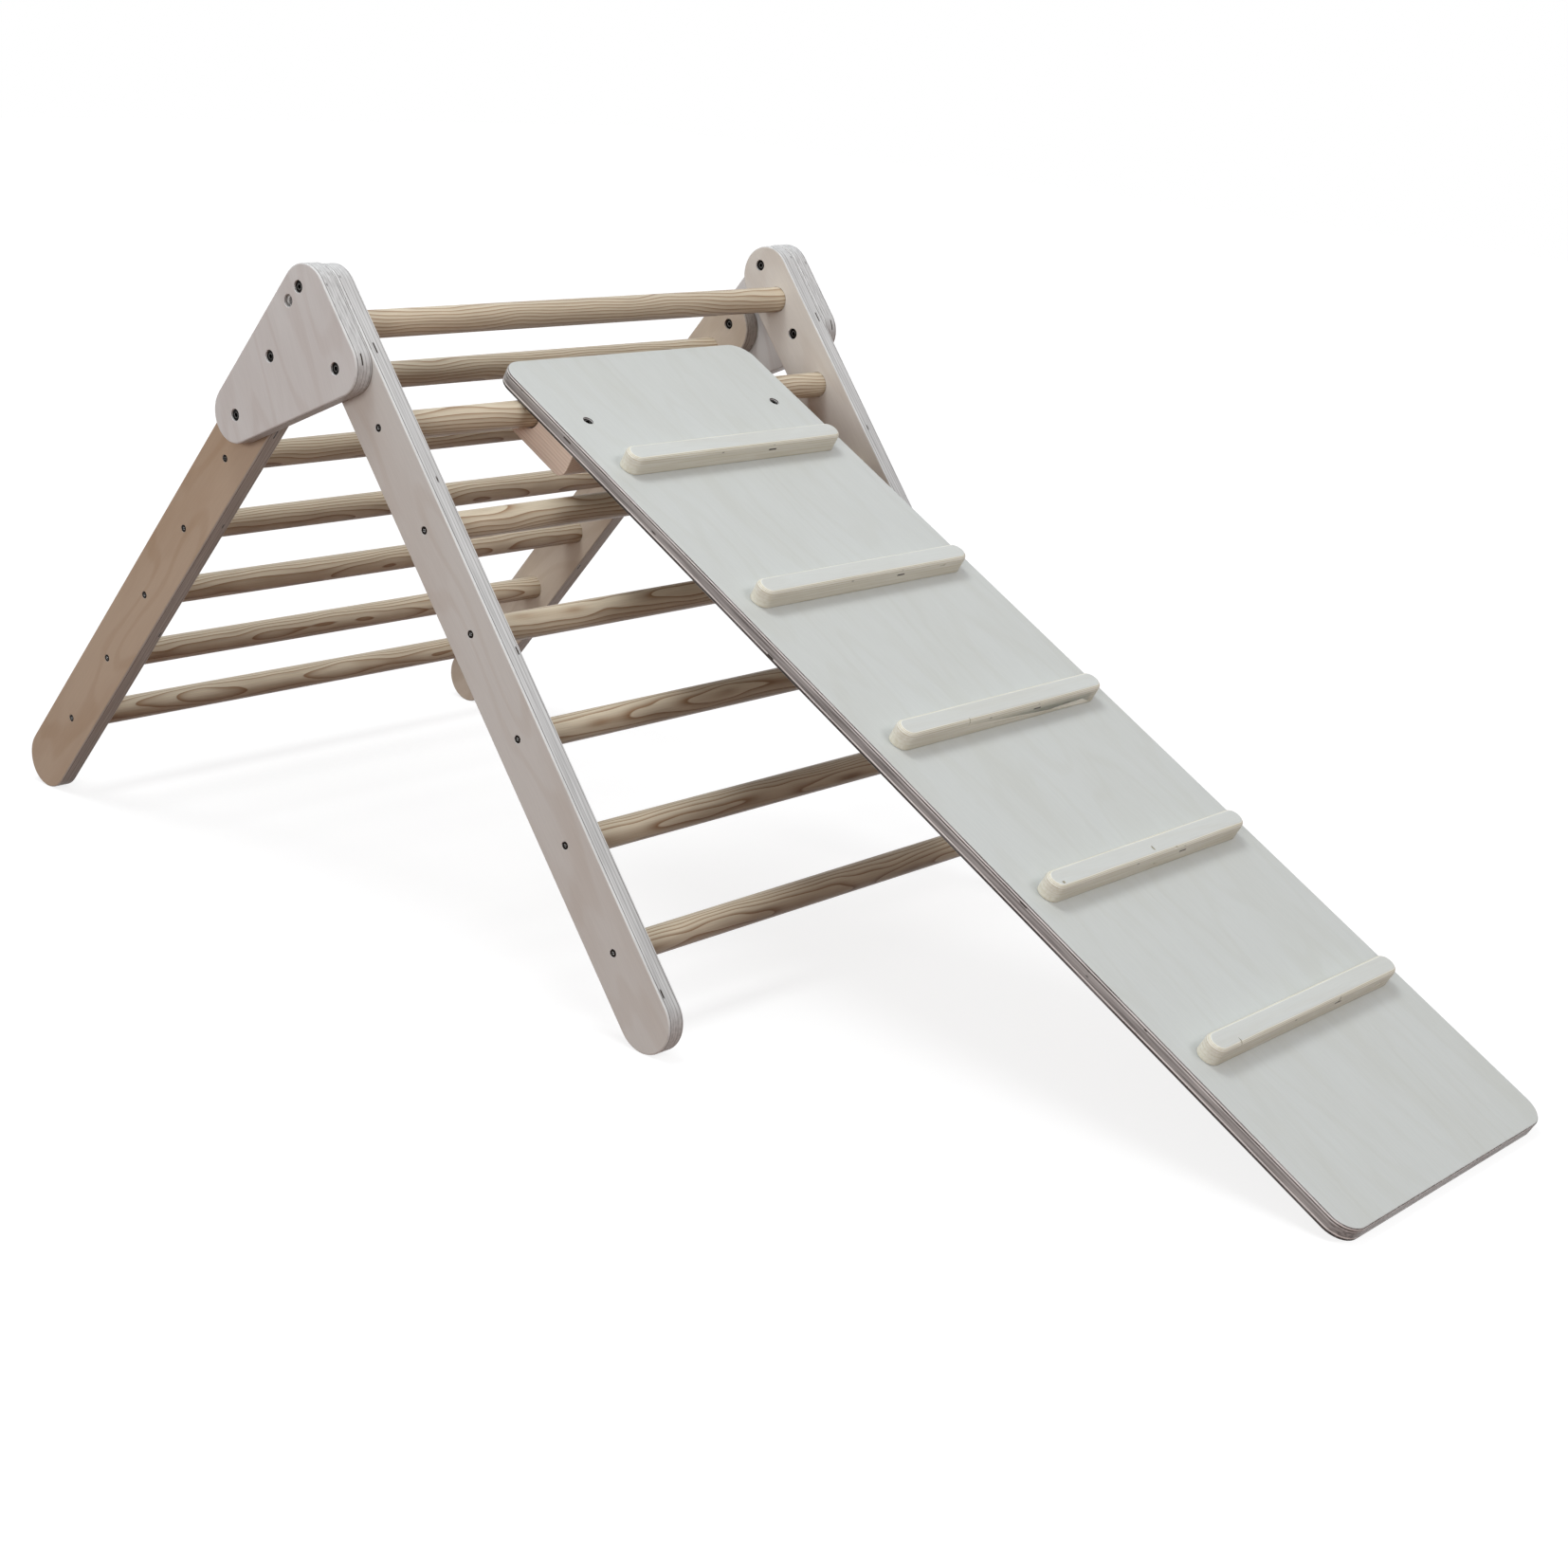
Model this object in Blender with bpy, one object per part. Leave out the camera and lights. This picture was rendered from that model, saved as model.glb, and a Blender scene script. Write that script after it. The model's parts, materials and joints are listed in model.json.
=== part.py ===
"""Wooden climbing triangle with a climbing ramp hooked over one of its rungs.

Metres, +Z up. The object stands on Z = 0, and the ramp runs down towards +X.
Left is the -Y side and right is the +Y side.
"""

import math

import bmesh
import bpy
from mathutils import Matrix, Vector

# Plywood boards of the ladders and gussets
BOARD = 0.018
RAIL_WIDTH = 0.060
WIDTH_OVER_RAILS = 0.600
EASED_EDGE = 0.0015

# Front ladder, measured down its rails from where both ladders' centre lines cross
FRONT_SLOPE = math.radians(50.45)
FRONT_RUNGS = 7
FRONT_FIRST_RUNG = 0.0289
FRONT_FOOT = 0.062
FRONT_RAIL_PAST_BOLT = 0.017

# Back ladder: its pivot below that crossing, then its rungs below the pivot
BACK_SLOPE = math.radians(51.46)
BACK_RUNGS = 6
BACK_PIVOT = 0.0727
BACK_FIRST_RUNG = 0.0385
BACK_RAIL_PAST_BOLT = 0.024

# Rungs, seated in blind sockets
RUNG_DIAMETER = 0.025
RUNG_PITCH = 0.100
SOCKET_DEPTH = 0.010

# Gussets and their bolt holes
GUSSET_BELOW_BOLTS = 0.025
GUSSET_TOP_RADIUS = 0.030
GUSSET_FOOT_RADIUS = 0.027
FRONT_BOLT_REACH = 0.0405
LOCK_BOLT_REACH = 0.077
FLATTER_SETTING = math.radians(13.5)

# Connector bolts: a head in the gusset and a sleeve nut in the rail, both sunk
BOLT_HEAD = 0.0104
BOLT_HEAD_HEIGHT = 0.0025
BOLT_SHANK = 0.0070
BOLT_SINK = 0.0015
BOLT_SOCKET = 0.0040
BOLT_SOCKET_DEPTH = 0.0015

# Countersunk screws that hold the rungs
SCREW_HEAD = 0.0070
SCREW_SHANK = 0.0036
SCREW_CONE = 0.0022
SCREW_SINK = 0.0003
SCREW_GRIP = 0.026

# Ramp panel, measured down the ramp from the rung that carries it
RUNGS_ABOVE_RAMP = 1
RAMP_REACH = 1.041
RAMP_ABOVE_RUNG = 0.041
RAMP_WIDTH = 0.328
RAMP_THICKNESS = 0.015
RAMP_CORNER = 0.022
RAMP_OFF_CENTRE = 0.024

# Cleats across the ramp
CLEATS = 5
CLEAT_FIRST = 0.120
CLEAT_PITCH = 0.186
CLEAT_WIDTH = 0.021
CLEAT_HEIGHT = 0.018
CLEAT_SHORT_OF_EDGE = 0.0215
CLEAT_ROUND = 0.006

# Hook blocks under the ramp and the bolts that hold them
HOOK_SHORT_OF_EDGE = 0.037
HOOK_THICKNESS = 0.038
HOOK_DOWNHILL = 0.0660
HOOK_UPHILL = 0.022
HOOK_LIP = 0.013
HOOK_PLAY = 0.0015
HOOK_MOUTH_PLAY = 0.0006
HOOK_END_RADIUS = 0.012
HOOK_LIP_RADIUS = 0.006
HOOK_BOLT_AT = 0.050
HOOK_BOLT_HEAD = 0.0096
HOOK_BOLT_SHANK = 0.0056
HOOK_BOLT_GRIP = 0.026

# Fits and fineness
GAP = 0.0003
OVERRUN = 0.005
SAME_POINT = 0.00001
ARC_STEP = math.radians(10)
CLEAT_ARC_STEP = math.radians(18)
RUNG_SIDES = 18
BOLT_SIDES = 12
SCREW_SIDES = 8
EDGE_STEPS = 1
CLEAT_EDGE_STEPS = 2
SHARP = math.radians(35)

SIDES = {"left": -1, "right": 1}

# Levels across the object, from its middle plane outwards
rail_outer = WIDTH_OVER_RAILS / 2
rail_inner = rail_outer - BOARD
socket_floor = rail_inner + SOCKET_DEPTH
gusset_inner = rail_outer + GAP
gusset_outer = gusset_inner + BOARD

# Both ladders in the side view
rail_half = RAIL_WIDTH / 2
rung_radius = RUNG_DIAMETER / 2
front_rungs = [FRONT_FIRST_RUNG + i * RUNG_PITCH for i in range(FRONT_RUNGS)]
back_rungs = [BACK_FIRST_RUNG + i * RUNG_PITCH for i in range(BACK_RUNGS)]
front_bolt = FRONT_FIRST_RUNG - FRONT_BOLT_REACH
front_top = front_bolt - FRONT_RAIL_PAST_BOLT + rail_half
front_foot = front_rungs[-1] + FRONT_FOOT
crossing_height = rail_half + front_foot * math.sin(FRONT_SLOPE)
back_length = (crossing_height - rail_half) / math.sin(BACK_SLOPE)
back_top = rail_half - BACK_RAIL_PAST_BOLT
back_foot = back_length - BACK_PIVOT
spread = math.pi - FRONT_SLOPE - BACK_SLOPE

# Ramp: its underside rests on the rung and its foot on the floor
ramp_under = rung_radius + GAP
ramp_top = ramp_under + RAMP_THICKNESS
carrying_rung = front_rungs[RUNGS_ABOVE_RAMP]
carrying_height = crossing_height - carrying_rung * math.sin(FRONT_SLOPE)
ramp_slope = math.asin(carrying_height / math.hypot(RAMP_REACH, ramp_under))
ramp_slope += math.atan2(ramp_under, RAMP_REACH)
ramp_end = RAMP_REACH + EASED_EDGE


def downhill(slope):
    """Direction that falls away from the crossing at this slope, in world axes."""
    return Vector((math.cos(slope), 0, -math.sin(slope)))


# World places: X = 0 is the middle of the object's length
front_run = downhill(FRONT_SLOPE)
back_run = downhill(math.pi - BACK_SLOPE)
ramp_run = downhill(ramp_slope)
rearmost = back_run.x * back_length - rail_half
foremost = front_run.x * carrying_rung + ramp_run.x * ramp_end
foremost += math.sin(ramp_slope) * (ramp_top - EASED_EDGE)
crossing = Vector((-(rearmost + foremost) / 2, 0, crossing_height))
pivot = crossing + back_run * BACK_PIVOT
ramp_axis = crossing + front_run * carrying_rung


def arc(centre, radius, start, turn, step=ARC_STEP):
    """Points along an arc, both ends included."""
    steps = max(1, math.ceil(abs(turn) / step - SAME_POINT))
    points = []
    for i in range(steps + 1):
        angle = start + turn * i / steps
        points.append(centre + radius * Vector((math.cos(angle), math.sin(angle))))
    return points


def fillet(before, corner, after, radius, step=ARC_STEP):
    """A corner of an anticlockwise outline, rounded to the radius."""
    back = (before - corner).normalized()
    ahead = (after - corner).normalized()
    half = back.angle(ahead) / 2
    centre = corner + (back + ahead).normalized() * radius / math.sin(half)
    start = corner + back * radius / math.tan(half) - centre
    return arc(centre, radius, math.atan2(start.y, start.x), math.pi - 2 * half, step)


def rounded(corners, radii, step=ARC_STEP):
    """An anticlockwise outline with every corner rounded to its radius."""
    outline = []
    for i, radius in enumerate(radii):
        after = corners[(i + 1) % len(corners)]
        outline += fillet(corners[i - 1], corners[i], after, radius, step)
    return outline


def rectangle(low_x, high_x, low_y, high_y, radius, step=ARC_STEP):
    corners = [(low_x, low_y), (high_x, low_y), (high_x, high_y), (low_x, high_y)]
    return rounded([Vector(corner) for corner in corners], [radius] * len(corners), step)


def meeting(point, direction, other_point, other_direction):
    """Where two lines cross."""
    along = (other_point - point).cross(other_direction) / direction.cross(other_direction)
    return point + direction * along


def to_mesh(form, name):
    bmesh.ops.remove_doubles(form, verts=form.verts[:], dist=SAME_POINT)
    bmesh.ops.recalc_face_normals(form, faces=form.faces[:])
    mesh = bpy.data.meshes.new(name)
    form.to_mesh(mesh)
    form.free()
    return mesh


def slab(name, outline, low, high, along, round_low, round_high, steps):
    """The outline drawn from one level to the other along Y or Z, with rounded rims."""
    lift = Vector((0, 1, 0)) if along == "Y" else Vector((0, 0, 1))
    form = bmesh.new()
    ring = []
    for i, (a, b) in enumerate(outline):
        if (outline[i] - outline[i - 1]).length > SAME_POINT:
            spot = Vector((a, 0, b)) if along == "Y" else Vector((a, b, 0))
            ring.append(form.verts.new(spot + lift * low))
    drawn = bmesh.ops.extrude_face_region(form, geom=[form.faces.new(ring)])["geom"]
    raised = [item for item in drawn if isinstance(item, bmesh.types.BMVert)]
    bmesh.ops.translate(form, verts=raised, vec=lift * (high - low))
    for width, rim in ((round_low, low), (round_high, high)):
        if width:
            level = [e for e in form.edges if all(abs(v.co.dot(lift) - rim) < SAME_POINT for v in e.verts)]
            bmesh.ops.bevel(form, geom=level, offset=width, segments=steps, profile=0.5,
                            affect="EDGES", clamp_overlap=True, material=-1)
    return to_mesh(form, name)


def turned(name, profile, sides, places):
    """A turned body at each place: (radius, height) points along its Z axis, capped flat."""
    form = bmesh.new()
    for place in places:
        points = [form.verts.new(place @ Vector((radius, 0, height))) for radius, height in profile]
        edges = [form.edges.new(pair) for pair in zip(points, points[1:])]
        bmesh.ops.spin(form, geom=points + edges, cent=place.translation,
                       axis=place.to_3x3() @ Vector((0, 0, 1)), angle=math.tau,
                       steps=sides, use_merge=True)
    rims = [edge for edge in form.edges if edge.is_boundary]
    bmesh.ops.holes_fill(form, edges=rims, sides=sides)
    return to_mesh(form, name)


def with_hexagon(mesh, levels):
    """Gives the round socket at the bolt's ends six flats."""
    corner = BOLT_SOCKET / 2 / math.cos(math.pi / 6)
    for vertex in mesh.vertices:
        x, y, z = vertex.co
        if abs(math.hypot(x, y) - corner) < SAME_POINT and any(abs(z - at) < SAME_POINT for at in levels):
            turn = math.atan2(y, x) % (math.pi / 3) - math.pi / 6
            vertex.co.xy *= math.cos(math.pi / 6) / math.cos(turn)
    return mesh


def carved(mesh, *tools):
    """The mesh with every tool's mesh cut out of it."""
    blank = bpy.data.objects.new(mesh.name, mesh)
    bpy.context.collection.objects.link(blank)
    helpers = [blank]
    for tool in tools:
        cutter = bpy.data.objects.new(tool.name, tool)
        bpy.context.collection.objects.link(cutter)
        helpers.append(cutter)
        cut = blank.modifiers.new(tool.name, "BOOLEAN")
        cut.operation = "DIFFERENCE"
        cut.solver = "EXACT"
        cut.object = cutter
    depsgraph = bpy.context.evaluated_depsgraph_get()
    result = bpy.data.meshes.new_from_object(blank.evaluated_get(depsgraph))
    result.name = mesh.name + "_cut"
    for helper in helpers:
        bpy.data.objects.remove(helper)
    return result


def finish(name, colour, roughness, metallic):
    material = bpy.data.materials.new(name)
    material.use_nodes = True
    shader = material.node_tree.nodes["Principled BSDF"]
    shader.inputs["Base Color"].default_value = (*colour, 1)
    shader.inputs["Roughness"].default_value = roughness
    shader.inputs["Metallic"].default_value = metallic
    material.diffuse_color = (*colour, 1)
    return material


def frame(name, place, slope):
    """An empty on a joint's axis, with its X axis running down the slope."""
    empty = bpy.data.objects.new(name, None)
    empty.location = place
    empty.rotation_euler = (0, slope, 0)
    bpy.context.collection.objects.link(empty)
    return empty


def piece(name, mesh, parent, material, location=(0, 0, 0), rotation=(0, 0, 0)):
    """One named piece, in its assembly's frame."""
    if not mesh.materials:
        mesh.materials.append(material)
    else:
        mesh.materials[0] = material
    mesh.shade_smooth()
    mesh.set_sharp_from_angle(angle=SHARP)
    item = bpy.data.objects.new(name, mesh)
    item.location = location
    item.rotation_euler = rotation
    item.parent = parent
    bpy.context.collection.objects.link(item)
    return item


def facing(side):
    """Rotation that points a turned piece's Z axis out of the left or right side."""
    return (-side * math.pi / 2, 0, 0)


def outward(side, along, rise=0):
    """Matrix of a turned cutter that points out of one side at a spot in the side view."""
    return Matrix.Translation((along, 0, rise)) @ Matrix.Rotation(-side * math.pi / 2, 4, "X")


def bolt_spots():
    """Bolt places in the front ladder's frame: along its rails, and out from them."""
    back_line = Vector((math.cos(spread), -math.sin(spread)))
    low = Vector((FRONT_FIRST_RUNG + FRONT_BOLT_REACH, 0))
    span = 2 * FRONT_BOLT_REACH
    spare = low - span * Vector((math.cos(FLATTER_SETTING), math.sin(FLATTER_SETTING)))
    return {
        "top": Vector((front_bolt, 0)),
        "low": low,
        "pivot": back_line * BACK_PIVOT,
        "lock": back_line * (BACK_PIVOT + LOCK_BOLT_REACH),
        "spare": spare,
    }


def gusset_outline(spots):
    """Three sides flush with the two ladders and below the bolts, rounded where they meet."""
    front_line = Vector((1, 0))
    back_line = Vector((math.cos(spread), -math.sin(spread)))
    bolt_line = (spots["low"] - spots["lock"]).normalized()
    front_edge = Vector((0, rail_half))
    back_edge = -rail_half * Vector((math.sin(spread), math.cos(spread)))
    low_edge = spots["low"] + GUSSET_BELOW_BOLTS * Vector((bolt_line.y, -bolt_line.x))
    corners = [
        meeting(front_edge, front_line, back_edge, back_line),
        meeting(back_edge, back_line, low_edge, bolt_line),
        meeting(low_edge, bolt_line, front_edge, front_line),
    ]
    return rounded(corners, [GUSSET_TOP_RADIUS, GUSSET_FOOT_RADIUS, GUSSET_FOOT_RADIUS])


def bolt_bore():
    """Stepped bore through rail and gusset, wider where the nut and the head sit."""
    wide = BOLT_HEAD / 2 + GAP
    narrow = BOLT_SHANK / 2 + GAP
    step = BOLT_SINK + BOLT_HEAD_HEIGHT + GAP
    return [
        (wide, rail_inner - OVERRUN),
        (wide, rail_inner + step),
        (narrow, rail_inner + step),
        (narrow, gusset_outer - step),
        (wide, gusset_outer - step),
        (wide, gusset_outer + OVERRUN),
    ]


def screw_bore():
    """Countersunk bore from a rung's socket to the rail's outer face."""
    narrow = SCREW_SHANK / 2 + GAP
    flare = (SCREW_HEAD - SCREW_SHANK) / 2 / SCREW_CONE
    return [
        (narrow, socket_floor - OVERRUN),
        (narrow, rail_outer - SCREW_SINK - SCREW_CONE),
        (narrow + flare * (SCREW_CONE + SCREW_SINK + OVERRUN), rail_outer + OVERRUN),
    ]


def rung_socket():
    radius = rung_radius + GAP
    return [(radius, rail_inner - OVERRUN), (radius, socket_floor)]


def rail_mesh(name, side, top, foot, rungs, screwed, bolts):
    """A rail with round ends, blind sockets for the rungs and bores for screws and bolts."""
    outline = rectangle(top - rail_half, foot + rail_half, -rail_half, rail_half, rail_half)
    inner, outer = sorted((side * rail_inner, side * rail_outer))
    board = slab(name, outline, inner, outer, "Y", EASED_EDGE, EASED_EDGE, EDGE_STEPS)
    sockets = turned("sockets", rung_socket(), RUNG_SIDES, [outward(side, s) for s in rungs])
    screws = turned("screw_bores", screw_bore(), SCREW_SIDES, [outward(side, s) for s in screwed])
    bores = turned("bolt_bores", bolt_bore(), BOLT_SIDES, [outward(side, s) for s in bolts])
    return carved(board, sockets, screws, bores)


def rung_mesh():
    """A dowel with a pilot hole in each end."""
    half = socket_floor - GAP
    pilot = SCREW_SHANK / 2 + GAP
    floor = socket_floor - SCREW_GRIP - GAP
    dowel = turned("rung", [(rung_radius, -half), (rung_radius, half)], RUNG_SIDES, [outward(1, 0)])
    hole = [(pilot, floor), (pilot, half + OVERRUN)]
    return carved(dowel, turned("pilots", hole, SCREW_SIDES, [outward(1, 0), outward(-1, 0)]))


def screw_mesh():
    """Countersunk screw, with its heights measured from the object's middle plane."""
    top = rail_outer - SCREW_SINK
    profile = [
        (SCREW_SHANK / 2, socket_floor - SCREW_GRIP),
        (SCREW_SHANK / 2, top - SCREW_CONE),
        (SCREW_HEAD / 2, top),
    ]
    return turned("screw", profile, SCREW_SIDES, [Matrix()])


def bolt_mesh():
    """Connector bolt screwed into its sleeve nut, both with a hexagon socket."""
    nut = rail_inner + BOLT_SINK
    head = gusset_outer - BOLT_SINK
    socket = BOLT_SOCKET / 2 / math.cos(math.pi / 6)
    profile = [
        (socket, nut + BOLT_SOCKET_DEPTH),
        (socket, nut),
        (BOLT_HEAD / 2, nut),
        (BOLT_HEAD / 2, nut + BOLT_HEAD_HEIGHT),
        (BOLT_SHANK / 2, nut + BOLT_HEAD_HEIGHT),
        (BOLT_SHANK / 2, head - BOLT_HEAD_HEIGHT),
        (BOLT_HEAD / 2, head - BOLT_HEAD_HEIGHT),
        (BOLT_HEAD / 2, head),
        (socket, head),
        (socket, head - BOLT_SOCKET_DEPTH),
    ]
    levels = [nut, nut + BOLT_SOCKET_DEPTH, head, head - BOLT_SOCKET_DEPTH]
    return with_hexagon(turned("connector_bolt", profile, BOLT_SIDES, [Matrix()]), levels)


def headed_mesh(name, head_width, head_height, shank_width, tip, head):
    """A bolt with a hexagon socket in its head, from its tip to the top of its head."""
    socket = BOLT_SOCKET / 2 / math.cos(math.pi / 6)
    profile = [
        (shank_width / 2, tip),
        (shank_width / 2, head - head_height),
        (head_width / 2, head - head_height),
        (head_width / 2, head),
        (socket, head),
        (socket, head - BOLT_SOCKET_DEPTH),
    ]
    return with_hexagon(turned(name, profile, BOLT_SIDES, [Matrix()]), [head, head - BOLT_SOCKET_DEPTH])


def hook_outline():
    """Hook in the side view: it hangs from the panel, passes under the rung and opens uphill."""
    seat = rung_radius + HOOK_PLAY
    top = ramp_under - GAP
    under = -seat - HOOK_LIP
    lip = ramp_under - RUNG_DIAMETER - HOOK_MOUTH_PLAY
    start = math.asin(top / seat)
    turn = -(math.pi + start + math.asin(lip / seat))
    heel = Vector((-HOOK_UPHILL, under))
    toe = Vector((HOOK_DOWNHILL, under))
    shoulder = Vector((HOOK_DOWNHILL, top))
    tip = Vector((-HOOK_UPHILL, lip))
    outline = fillet(tip, heel, toe, HOOK_LIP_RADIUS)
    outline += fillet(heel, toe, shoulder, HOOK_END_RADIUS)
    outline.append(shoulder)
    outline += arc(Vector((0, 0)), seat, start, turn)
    outline.append(tip)
    return outline


def hook_bore():
    """Bore for a hook bolt, through the panel and into the block."""
    wide = HOOK_BOLT_HEAD / 2 + GAP
    narrow = HOOK_BOLT_SHANK / 2 + GAP
    step = ramp_top - BOLT_SINK - BOLT_HEAD_HEIGHT - GAP
    floor = ramp_under - HOOK_BOLT_GRIP - GAP
    return [
        (narrow, floor),
        (narrow, step),
        (wide, step),
        (wide, ramp_top + OVERRUN),
    ]


def build_front(parent, looks):
    """Front ladder, gussets and every bolt through the gussets."""
    spots = bolt_spots()
    rung = rung_mesh()
    screw = screw_mesh()
    bolt = bolt_mesh()
    lock = headed_mesh("lock_bolt", BOLT_HEAD, BOLT_HEAD_HEIGHT, BOLT_SHANK,
                       gusset_inner, gusset_outer - BOLT_SINK)
    outline = gusset_outline(spots)
    for name, side in SIDES.items():
        bolts = [spots["top"].x, spots["low"].x]
        rail = rail_mesh("front_rail", side, front_top, front_foot, front_rungs, front_rungs[1:], bolts)
        piece("front_rail_" + name, rail, parent, looks["rail"])
        inner, outer = sorted((side * gusset_inner, side * gusset_outer))
        plate = slab("gusset", outline, inner, outer, "Y", EASED_EDGE, EASED_EDGE, EDGE_STEPS)
        places = [outward(side, spot.x, spot.y) for spot in spots.values()]
        plate = carved(plate, turned("gusset_bores", bolt_bore(), BOLT_SIDES, places))
        piece("gusset_" + name, plate, parent, looks["gusset"])
        for use, mesh in (("top", bolt), ("low", bolt), ("pivot", bolt), ("lock", lock)):
            where = (spots[use].x, 0, spots[use].y)
            piece(use + "_bolt_" + name, mesh, parent, looks["bolt"], where, facing(side))
        for i, along in enumerate(front_rungs[1:], start=2):
            where = (along, 0, 0)
            piece(f"front_screw_{name}_{i}", screw, parent, looks["screw"], where, facing(side))
    for i, along in enumerate(front_rungs, start=1):
        piece(f"front_rung_{i}", rung, parent, looks["rung"], (along, 0, 0))


def build_back(parent, looks):
    """Back ladder, in the frame of its pivot."""
    rung = rung_mesh()
    screw = screw_mesh()
    for name, side in SIDES.items():
        bolts = [0, LOCK_BOLT_REACH]
        rail = rail_mesh("back_rail", side, back_top, back_foot, back_rungs, back_rungs[1:], bolts)
        piece("back_rail_" + name, rail, parent, looks["rail"])
        for i, along in enumerate(back_rungs[1:], start=2):
            where = (along, 0, 0)
            piece(f"back_screw_{name}_{i}", screw, parent, looks["screw"], where, facing(side))
    for i, along in enumerate(back_rungs, start=1):
        piece(f"back_rung_{i}", rung, parent, looks["rung"], (along, 0, 0))


def build_ramp(parent, looks):
    """Ramp panel with its cleats and hooks, in the frame of the rung that carries it."""
    half = RAMP_WIDTH / 2
    hook_reach = half - HOOK_SHORT_OF_EDGE
    hooks = {name: RAMP_OFF_CENTRE + side * hook_reach for name, side in SIDES.items()}
    places = [Matrix.Translation((HOOK_BOLT_AT, at, 0)) for at in hooks.values()]
    outline = rectangle(-RAMP_ABOVE_RUNG, ramp_end, RAMP_OFF_CENTRE - half, RAMP_OFF_CENTRE + half,
                        RAMP_CORNER)
    panel = slab("ramp_panel", outline, ramp_under, ramp_top, "Z", EASED_EDGE, EASED_EDGE, EDGE_STEPS)
    panel = carved(panel, turned("hook_bores", hook_bore(), BOLT_SIDES, places))
    piece("ramp_panel", panel, parent, looks["ramp"])

    reach = half - CLEAT_SHORT_OF_EDGE
    cleat_half = CLEAT_WIDTH / 2
    stadium = rectangle(-cleat_half, cleat_half, -reach, reach, cleat_half, CLEAT_ARC_STEP)
    seat = ramp_top + GAP
    cleat = slab("cleat", stadium, seat, seat + CLEAT_HEIGHT, "Z", 0, CLEAT_ROUND, CLEAT_EDGE_STEPS)
    for i in range(CLEATS):
        where = (CLEAT_FIRST + i * CLEAT_PITCH, RAMP_OFF_CENTRE, 0)
        piece(f"ramp_cleat_{i + 1}", cleat, parent, looks["cleat"], where)

    block = slab("hook", hook_outline(), -HOOK_THICKNESS / 2, HOOK_THICKNESS / 2, "Y",
                 EASED_EDGE, EASED_EDGE, EDGE_STEPS)
    bore = turned("hook_bore", hook_bore(), BOLT_SIDES, [Matrix.Translation((HOOK_BOLT_AT, 0, 0))])
    block = carved(block, bore)
    bolt = headed_mesh("hook_bolt", HOOK_BOLT_HEAD, BOLT_HEAD_HEIGHT, HOOK_BOLT_SHANK,
                       ramp_under - HOOK_BOLT_GRIP, ramp_top - BOLT_SINK)
    for name, at in hooks.items():
        piece("ramp_hook_" + name, block, parent, looks["hook"], (0, at, 0))
        piece("hook_bolt_" + name, bolt, parent, looks["bolt"], (HOOK_BOLT_AT, at, 0))


for old in list(bpy.data.objects):
    bpy.data.objects.remove(old)

materials = {
    "rail": finish("rail_plywood", (0.58, 0.52, 0.45), 0.45, 0),
    "gusset": finish("gusset_plywood", (0.60, 0.56, 0.51), 0.45, 0),
    "ramp": finish("ramp_plywood", (0.68, 0.67, 0.61), 0.40, 0),
    "rung": finish("rung_beech", (0.66, 0.58, 0.43), 0.40, 0),
    "cleat": finish("cleat_wood", (0.74, 0.70, 0.62), 0.45, 0),
    "hook": finish("hook_wood", (0.66, 0.54, 0.43), 0.50, 0),
    "bolt": finish("blackened_steel", (0.05, 0.05, 0.05), 0.35, 1),
    "screw": finish("zinc_plated_steel", (0.35, 0.33, 0.31), 0.35, 1),
}

build_front(frame("front_ladder", crossing, FRONT_SLOPE), materials)
build_back(frame("back_ladder", pivot, math.pi - BACK_SLOPE), materials)
build_ramp(frame("ramp", ramp_axis, ramp_slope), materials)
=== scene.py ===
"""Looks of a wooden climbing triangle with its climbing ramp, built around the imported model.

Metres, +Z up. The ramp runs down towards +X. Left is the -Y side, which faces the camera.
"""

import json
import math

import bmesh
import bpy
from mathutils import Matrix, Vector
from mathutils.geometry import intersect_line_line


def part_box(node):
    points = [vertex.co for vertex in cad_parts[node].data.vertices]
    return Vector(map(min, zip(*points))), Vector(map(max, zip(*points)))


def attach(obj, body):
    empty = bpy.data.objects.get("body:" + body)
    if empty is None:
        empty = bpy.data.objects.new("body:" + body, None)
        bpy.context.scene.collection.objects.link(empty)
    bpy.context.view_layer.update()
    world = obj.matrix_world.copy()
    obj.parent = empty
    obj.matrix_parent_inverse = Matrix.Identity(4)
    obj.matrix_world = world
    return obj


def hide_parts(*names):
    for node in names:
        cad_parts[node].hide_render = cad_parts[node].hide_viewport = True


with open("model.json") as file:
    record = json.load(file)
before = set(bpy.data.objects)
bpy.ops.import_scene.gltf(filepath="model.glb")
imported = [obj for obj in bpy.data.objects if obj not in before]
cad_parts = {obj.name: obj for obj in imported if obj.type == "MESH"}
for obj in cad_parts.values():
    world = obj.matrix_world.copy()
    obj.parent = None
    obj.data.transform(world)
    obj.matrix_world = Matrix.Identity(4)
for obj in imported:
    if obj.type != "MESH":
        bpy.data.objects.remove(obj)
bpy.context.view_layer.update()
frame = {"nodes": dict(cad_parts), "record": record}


# Camera: it stands off the ramp's left side, a little higher than the top of the triangle, and
# looks slightly down. The small shift puts the object where the square picture has it.
CAMERA_PLACE = (1.4983, -1.7497, 0.8739)
CAMERA_TURN = (70.5946, -4.6108, 41.5344)
CAMERA_LENS = 58.9549
CAMERA_SENSOR = 36.0
CAMERA_SHIFT = (0.0049544, 0.0485663)

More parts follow.
